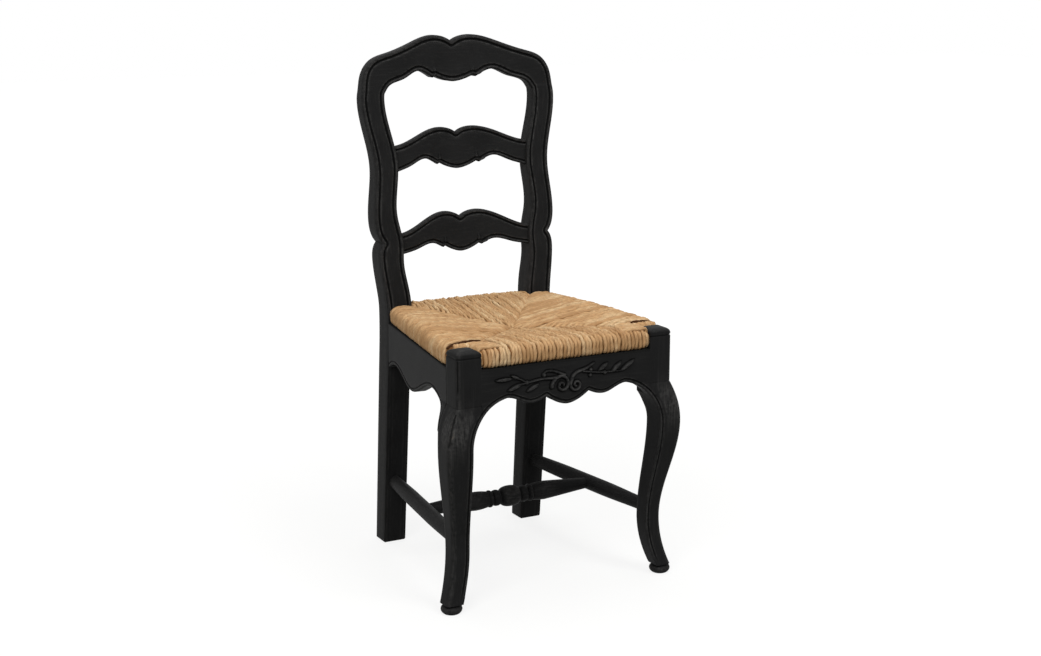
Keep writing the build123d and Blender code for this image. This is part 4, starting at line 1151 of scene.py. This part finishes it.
def rush_tree():
    """Tree that winds a flat twisted strand along every line of points."""
    tree = bpy.data.node_groups.new("twisted rush", "GeometryNodeTree")
    inputs = {
        "Strands": "Geometry", "Diameter": "Float", "Flatness": "Float", "Turn": "Float", "Step": "Float",
        "Sides": "Int", "Seed": "Int", "Material": "Material",
    }
    for name, kind in inputs.items():
        tree.interface.new_socket(name, in_out="INPUT", socket_type="NodeSocket" + kind)
    tree.interface.new_socket("Rush", in_out="OUTPUT", socket_type="NodeSocketGeometry")
    given = add(tree, "NodeGroupInput").node.outputs
    curve = add(tree, "GeometryNodeMeshToCurve", {"Mesh": given["Strands"]})
    steps = add(tree, "GeometryNodeResampleCurve", {"Curve": curve, "Length": given["Step"]}, mode="LENGTH")
    strand = add(tree, "GeometryNodeCurveOfPoint", out="Curve Index")
    chance = add(tree, "FunctionNodeRandomValue", {"ID": strand, "Seed": given["Seed"]}, 1, data_type="FLOAT")
    along = add(tree, "GeometryNodeSplineParameter", out="Length")
    turns = add(tree, "ShaderNodeMath", {0: along, 1: given["Turn"]}, operation="DIVIDE")
    turned_by = add(tree, "ShaderNodeMath", {0: turns, 1: chance}, operation="ADD")
    tilt = add(tree, "ShaderNodeMath", {0: turned_by, 1: 2 * math.pi}, operation="MULTIPLY")
    twisted = add(tree, "GeometryNodeSetCurveTilt", {"Curve": steps, "Tilt": tilt})
    lumps = add(tree, "ShaderNodeTexNoise", {"W": given["Seed"], "Scale": per_mm(16.0), "Detail": 1.0},
                noise_dimensions="4D")
    full = add(tree, "ShaderNodeMapRange",
               {"Value": lumps, "From Min": 0.3, "From Max": 0.7, "To Min": 0.84, "To Max": 1.12})
    size = add(tree, "ShaderNodeMapRange", {"Value": chance, "To Min": 0.9, "To Max": 1.12})
    radius = add(tree, "ShaderNodeMath", {0: size, 1: full}, operation="MULTIPLY")
    path = add(tree, "GeometryNodeSetCurveRadius", {"Curve": twisted, "Radius": radius})
    for name, value in (("tone", chance), ("along", along)):
        path = add(tree, "GeometryNodeStoreNamedAttribute", {"Geometry": path, "Name": name, "Value": value},
                   data_type="FLOAT", domain="POINT")
    half = add(tree, "ShaderNodeMath", {0: given["Diameter"], 1: 0.5}, operation="MULTIPLY")
    circle = add(tree, "GeometryNodeCurvePrimitiveCircle", {"Resolution": given["Sides"], "Radius": half})
    place = add(tree, "GeometryNodeInputPosition")
    around = add(tree, "ShaderNodeVectorMath", {0: place}, operation="NORMALIZE")
    marked = add(tree, "GeometryNodeStoreNamedAttribute",
                 {"Geometry": circle, "Name": "around", "Value": around},
                 data_type="FLOAT_VECTOR", domain="POINT")
    oval = add(tree, "ShaderNodeCombineXYZ", {"X": 1.0, "Y": given["Flatness"], "Z": 1.0})
    squeezed = add(tree, "ShaderNodeVectorMath", {0: place, 1: oval}, operation="MULTIPLY")
    section = add(tree, "GeometryNodeSetPosition", {"Geometry": marked, "Position": squeezed})
    wind = add(tree, "GeometryNodeCurveToMesh", {"Curve": path, "Profile Curve": section, "Fill Caps": True})
    smooth = add(tree, "GeometryNodeSetShadeSmooth", {0: wind})
    real = add(tree, "GeometryNodeRealizeInstances", {"Geometry": smooth})
    finished = add(tree, "GeometryNodeSetMaterial", {"Geometry": real, "Material": given["Material"]})
    add(tree, "NodeGroupOutput", {0: finished})
    return tree


def wind_strands(tree, name, lines, seed, material, diameter=STRAND_DIAMETER):
    """A panel of the seat: the tree's strands along the lines, baked to a plain mesh."""
    verts, edges = [], []
    for line in lines:
        first = len(verts)
        verts += ((line + [0, Y_SHIFT, 0]) * MM).tolist()
        edges += [(first + k, first + k + 1) for k in range(len(line) - 1)]
    paths = bpy.data.meshes.new(name + "_paths")
    paths.from_pydata(verts, edges, [])
    piece = bpy.data.objects.new(name, paths)
    bpy.context.scene.collection.objects.link(piece)
    modifier = piece.modifiers.new("rush", "NODES")
    modifier.node_group = tree
    values = {
        "Diameter": diameter * MM, "Flatness": FLATNESS, "Turn": TWIST * MM, "Step": STRAND_STEP * MM,
        "Sides": STRAND_SIDES, "Seed": seed, "Material": material,
    }
    for item in tree.interface.items_tree:
        if item.name in values:
            modifier[item.identifier] = values[item.name]
    shaped = piece.evaluated_get(bpy.context.evaluated_depsgraph_get())
    baked = bpy.data.meshes.new_from_object(shaped)
    piece.modifiers.clear()
    piece.data = baked
    bpy.data.meshes.remove(paths)
    settle(piece, ["rush_seat"])


# Materials

def hex_colour(code):
    """Linear colour of an sRGB hex value."""
    parts = [int(code[k:k + 2], 16) / 255 for k in (1, 3, 5)]
    return (*[c / 12.92 if c <= 0.04045 else ((c + 0.055) / 1.055) ** 2.4 for c in parts], 1.0)


def per_mm(size):
    """Pattern scale, on coordinates in metres, that gives features of a size in millimetres."""
    return 1000.0 / size


def new_material(name):
    """A material with its tree and its surface shader."""
    material = bpy.data.materials.new(name)
    material.use_nodes = True
    tree = material.node_tree
    return material, tree, tree.nodes["Principled BSDF"]


def black_paint(name, stretch):
    """Satin black paint brushed on wood: near black, with faint brush streaks along the grain and a broken
    sheen, greyer where hands and feet wear the edges, with painted highlights beside the beads' grooves,
    near black with painted shade in the grooves, under lower edges and round the carving, dark in the left
    leg's cracks, and here and there a fleck of brown where the wood just shows."""
    material, tree, surface = new_material(name)
    place = add(tree, "ShaderNodeTexCoord", out="Object")
    lengthwise = add(tree, "ShaderNodeMapping", {"Vector": place, "Scale": stretch})
    streaks = add(tree, "ShaderNodeTexNoise",
                  {"Vector": lengthwise, "Scale": per_mm(3.0), "Detail": 5.0, "Roughness": 0.62})
    clouds = add(tree, "ShaderNodeTexNoise", {"Vector": place, "Scale": per_mm(45.0), "Detail": 4.0})
    chips = add(tree, "ShaderNodeTexNoise",
                {"Vector": place, "Scale": per_mm(7.0), "Detail": 6.0, "Roughness": 0.7})
    wear_and_highlight = add(tree, "ShaderNodeAttribute", out="Fac", attribute_name="wear_and_highlight")
    painted_shade_and_crack = add(tree, "ShaderNodeAttribute", out="Fac", attribute_name="painted_shade_and_crack")
    broken = add(tree, "ShaderNodeMath", {0: chips, 1: streaks}, operation="ADD")
    thin = add(tree, "ShaderNodeMapRange", {"Value": broken, "From Min": 0.8, "From Max": 1.3})
    # greyer paint for wear and painted highlights, broken up by the noise
    worn_and_highlighted = add(tree, "ShaderNodeMath", {0: wear_and_highlight, 1: thin}, operation="MULTIPLY")
    brushed = add(tree, "ShaderNodeMapRange",
                  {"Value": streaks, "From Min": 0.5, "From Max": 0.8, "To Max": 0.55})
    bare = add(tree, "ShaderNodeMapRange", {"Value": worn_and_highlighted, "From Min": 0.88, "From Max": 1.0, "To Max": 0.6})
    # painted shade: near black in grooves, under lower edges and round the carving, and in the left leg's
    # cracks
    deep = add(tree, "ShaderNodeMath", {0: painted_shade_and_crack, 1: 0.8}, operation="MULTIPLY")
    colour = hex_colour("#171717")
    layers = {"#242424": clouds, "#30302F": brushed, "#4C4B4A": worn_and_highlighted, "#5A4C3E": bare, "#040404": deep}
    for code, share in layers.items():
        colour = add(tree, "ShaderNodeMix", {0: share, 6: colour, 7: hex_colour(code)}, 2, data_type="RGBA")
    sheen = add(tree, "ShaderNodeMapRange", {"Value": streaks, "To Min": 0.46, "To Max": 0.64})
    bump = add(tree, "ShaderNodeBump", {"Height": broken, "Strength": 0.25, "Distance": 0.3 * MM})
    plug(surface, {"Base Color": colour, "Roughness": sheen, "Normal": bump, "Specular IOR Level": 0.035})
    return material


def twisted_rush():
    """Dry rush leaves twisted by hand: straw to golden brown from strand to strand, with long fibres that
    follow the twist, paler ridges, brown hollows that are partly the fibres' own colour and partly painted
    shade, and hardly any shine."""
    material, tree, surface = new_material("twisted dry rush")
    around = add(tree, "ShaderNodeAttribute", out="Vector", attribute_name="around")
    along = add(tree, "ShaderNodeAttribute", out="Fac", attribute_name="along")
    tone = add(tree, "ShaderNodeAttribute", out="Fac", attribute_name="tone")
    place = add(tree, "ShaderNodeTexCoord", out="Object")
    run = add(tree, "ShaderNodeMath", {0: along, 1: per_mm(18.0)}, operation="MULTIPLY")
    apart = add(tree, "ShaderNodeMath", {0: tone, 1: 40.0}, operation="MULTIPLY")
    shift = add(tree, "ShaderNodeMath", {0: run, 1: apart}, operation="ADD")
    lengthwise = add(tree, "ShaderNodeCombineXYZ", {"Z": shift})
    fibre_place = add(tree, "ShaderNodeVectorMath", {0: around, 1: lengthwise}, operation="ADD")
    fibres = add(tree, "ShaderNodeTexNoise",
                 {"Vector": fibre_place, "Scale": 2.6, "Detail": 4.0, "Roughness": 0.6})
    leaf = add(tree, "ShaderNodeTexNoise", {"Vector": lengthwise, "Scale": 0.35, "Detail": 2.0})
    patches = add(tree, "ShaderNodeTexNoise", {"Vector": place, "Scale": per_mm(60.0), "Detail": 2.0})
    mixed = add(tree, "ShaderNodeMath", {0: tone, 1: 0.6, 2: leaf}, operation="MULTIPLY_ADD")
    spread = add(tree, "ShaderNodeMath", {0: mixed, 1: patches}, operation="ADD")
    shade = add(tree, "ShaderNodeMapRange", {"Value": spread, "From Min": 0.78, "From Max": 1.82})
    straw = add(tree, "ShaderNodeValToRGB", {"Fac": shade})
    ramp = straw.node.color_ramp.elements
    ramp.new(0.5)
    for element, code in zip(ramp, ("#A67D51", "#C69E70", "#DFC399")):
        element.color = hex_colour(code)
    # brown lines in the fibres' bump hollows: partly fibre colour, partly painted shade
    fibre_lines_and_shade = add(tree, "ShaderNodeMapRange",
                {"Value": fibres, "From Min": 0.58, "From Max": 0.38, "To Max": 0.6})
    colour = add(tree, "ShaderNodeMix", {0: fibre_lines_and_shade, 6: straw, 7: hex_colour("#94704A")}, 2, data_type="RGBA")
    bump = add(tree, "ShaderNodeBump", {"Height": fibres, "Strength": 0.6, "Distance": 0.5 * MM})
    matt = add(tree, "ShaderNodeMapRange", {"Value": fibres, "To Min": 0.62, "To Max": 0.8})
    plug(surface, {"Base Color": colour, "Roughness": matt, "Normal": bump, "Specular IOR Level": 0.3})
    return material


def packed_rush(name, dark, light):
    """Loose rush packed between the faces of the seat: a dull brown, seen only as the dark between two
    strands; in darker colours, the painted shade of the rush lying in a slit."""
    material, tree, surface = new_material(name)
    place = add(tree, "ShaderNodeTexCoord", out="Object")
    stalks = add(tree, "ShaderNodeTexNoise", {"Vector": place, "Scale": per_mm(6.0), "Detail": 4.0})
    shades = {0: stalks, 6: hex_colour(dark), 7: hex_colour(light)}
    colour = add(tree, "ShaderNodeMix", shades, 2, data_type="RGBA")
    bump = add(tree, "ShaderNodeBump", {"Height": stalks, "Strength": 0.6, "Distance": 1.0 * MM})
    plug(surface, {"Base Color": colour, "Roughness": 0.85, "Normal": bump, "Specular IOR Level": 0.1})
    return material


def planed_beech():
    """Unfinished beech of the hidden seat rails: pale pinkish tan, with short darker flecks along it."""
    material, tree, surface = new_material("planed beech")
    place = add(tree, "ShaderNodeTexCoord", out="Object")
    lengthwise = add(tree, "ShaderNodeMapping", {"Vector": place, "Scale": (0.15, 1.0, 1.0)})
    flecks = add(tree, "ShaderNodeTexNoise", {"Vector": lengthwise, "Scale": per_mm(2.0), "Detail": 5.0})
    shades = {0: flecks, 6: hex_colour("#B98F62"), 7: hex_colour("#D8B88C")}
    colour = add(tree, "ShaderNodeMix", shades, 2, data_type="RGBA")
    bump = add(tree, "ShaderNodeBump", {"Height": flecks, "Strength": 0.2, "Distance": 0.2 * MM})
    plug(surface, {"Base Color": colour, "Roughness": 0.6, "Normal": bump})
    return material


# Stage, in metres

FLOOR_REACH = 14.0
FLOOR_COLOUR = "#7C7C7A"
ROOM_LIGHT = 0.24            # strength of the white world for the rays that light the chair
LAMPS = [                    # name, place, height aimed at, size, watts
    ("key", (-2.3, -2.1, 2.7), 0.5, 2.0, 72.0),
    ("front", (0.9, -2.6, 3.3), 0.9, 1.6, 58.0),
    ("top", (0.2, 0.6, 3.4), 0.5, 2.4, 40.0),
]
CAMERA_PLACE = (-1.4103, -2.46258, 1.1129)   # from the floor between the front leg blocks
CAMERA_TILT = 12.345         # degrees downwards
CAMERA_TURN = 28.33          # degrees to the right
CAMERA_LENS = 57.15          # lens and sensor in millimetres
CAMERA_SENSOR = 36.0


def seen_directly(tree):
    """1 for rays from the camera, or by way of a gloss or clear body, and 0 for rays that light the chair."""
    path = add(tree, "ShaderNodeLightPath").node.outputs
    either = add(tree, "ShaderNodeMath", {0: path["Is Camera Ray"], 1: path["Is Glossy Ray"]},
                 operation="MAXIMUM")
    return add(tree, "ShaderNodeMath", {0: either, 1: path["Is Transmission Ray"]}, operation="MAXIMUM")


def white_world(scene):
    """World that is white where it is seen, and gives the chair a fainter light from all sides."""
    world = bpy.data.worlds.new("white studio")
    scene.world = world
    world.use_nodes = True
    tree = world.node_tree
    level = add(tree, "ShaderNodeMapRange",
                {"Value": seen_directly(tree), "To Min": ROOM_LIGHT, "To Max": 1.0})
    plug(tree.nodes["Background"], {"Strength": level, "Color": (1, 1, 1, 1)})


def studio_floor(scene):
    """Pale floor that keeps the chair's shadow, with a painted glow that grows brighter away from the chair,
    so that no edge shows.
    """
    mesh = bpy.data.meshes.new("studio_floor")
    far = FLOOR_REACH
    mesh.from_pydata([(-far, -far, 0), (far, -far, 0), (far, far, 0), (-far, far, 0)], [], [(0, 1, 2, 3)])
    floor = bpy.data.objects.new("studio_floor", mesh)
    scene.collection.objects.link(floor)
    material, tree, surface = new_material("pale studio floor")
    plug(surface, {"Base Color": hex_colour(FLOOR_COLOUR), "Roughness": 0.9, "Specular IOR Level": 0.0})
    place = add(tree, "ShaderNodeTexCoord", out="Object")
    away = add(tree, "ShaderNodeVectorMath", {0: place}, "Value", operation="LENGTH")
    # painted light: the floor glows for rays that see it, less near the chair than away from it
    paler = add(tree, "ShaderNodeMapRange",
                {"Value": away, "From Min": 0.4, "From Max": 3.0, "To Min": 0.82, "To Max": 0.96})
    faint = add(tree, "ShaderNodeMath", {0: seen_directly(tree), 1: paler}, operation="MULTIPLY")
    glow = add(tree, "ShaderNodeEmission", {"Strength": faint})
    lit = add(tree, "ShaderNodeAddShader", {0: surface.outputs[0], 1: glow})
    plug(tree.nodes["Material Output"], {"Surface": lit})
    mesh.materials.append(material)


def set_stage():
    """White studio: world, floor, soft lamps from the left, the front and above, and the camera."""
    scene = bpy.context.scene
    scene.view_settings.view_transform = "Standard"
    white_world(scene)
    studio_floor(scene)
    for name, place, aim, size, watts in LAMPS:
        lamp = bpy.data.lights.new(name, "AREA")
        lamp.size = size
        lamp.energy = watts
        light = bpy.data.objects.new(name, lamp)
        light.location = place
        light.rotation_euler = (Vector((0, 0, aim)) - Vector(place)).to_track_quat("-Z", "Y").to_euler()
        scene.collection.objects.link(light)
    camera = bpy.data.cameras.new("camera")
    camera.lens = CAMERA_LENS
    camera.sensor_width = CAMERA_SENSOR
    view = bpy.data.objects.new("camera", camera)
    x, y, z = CAMERA_PLACE
    view.location = (x, y + Y_SHIFT * MM, z)
    view.rotation_euler = (math.radians(90 - CAMERA_TILT), 0, math.radians(-CAMERA_TURN))
    scene.collection.objects.link(view)
    scene.camera = view


# The chair

set_stage()
upright_paint = black_paint("satin black paint, upright grain", (1.0, 1.0, 0.06))
level_paint = black_paint("satin black paint, level grain", (0.06, 1.0, 1.0))
depth_paint = black_paint("satin black paint, grain front to back", (1.0, 0.06, 1.0))
back_posts(upright_paint)
crest(level_paint)
back_slat("upper_back_slat", level_paint, level=757.0, end=49.0, cleft=43.0, lobe=(42.0, 53.6), drop=-26.5,
          cusp=(39.0, -13.5), peak=(72.0, -3.5))
back_slat("lower_back_slat", level_paint, level=596.5, end=39.0, cleft=42.0, lobe=(36.0, 53.2), drop=-26.0,
          cusp=(36.0, -12.5), peak=(65.0, -5.0))
front_apron(level_paint)
side_aprons(depth_paint)
rear_apron(level_paint)
front_legs(upright_paint)
side_stretchers(depth_paint)
cross_stretcher(level_paint)

rush = twisted_rush()
packed = packed_rush("packed dry rush", "#6E4A2A", "#94693C")
# darker packed rush that paints the shade in the slits
slit_shade_paint = packed_rush("rush painted dark as the shade of a slit", "#2E1A0C", "#4A2C16")
tree = rush_tree()
wind_strands(tree, "rush_front_panel", front_strands(DEEP, STRAND), 1, rush)
wind_strands(tree, "rush_rear_panel", rear_strands(DEEP, REAR_STRAND), 2, rush, REAR_DIAMETER)
for side, name, seed in ((1, "right", 3), (-1, "left", 4)):
    wind_strands(tree, "rush_side_panel_" + name, side_strands(DEEP, STRAND, side), seed, rush)
    wind_strands(tree, "rush_corner_" + name, corner_strands(DEEP, STRAND, side), seed + 2, rush)
    wind_strands(tree, "painted_shade_in_slit_" + name, [slit_strand(DEEP, side)], seed + 4, slit_shade_paint)
lining(packed)

beech = planed_beech()
for rail in ("front_seat_rail", "rear_seat_rail", "side_seat_rail_left", "side_seat_rail_right"):
    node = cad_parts[rail]
    node.data.materials.clear()
    node.data.materials.append(beech)
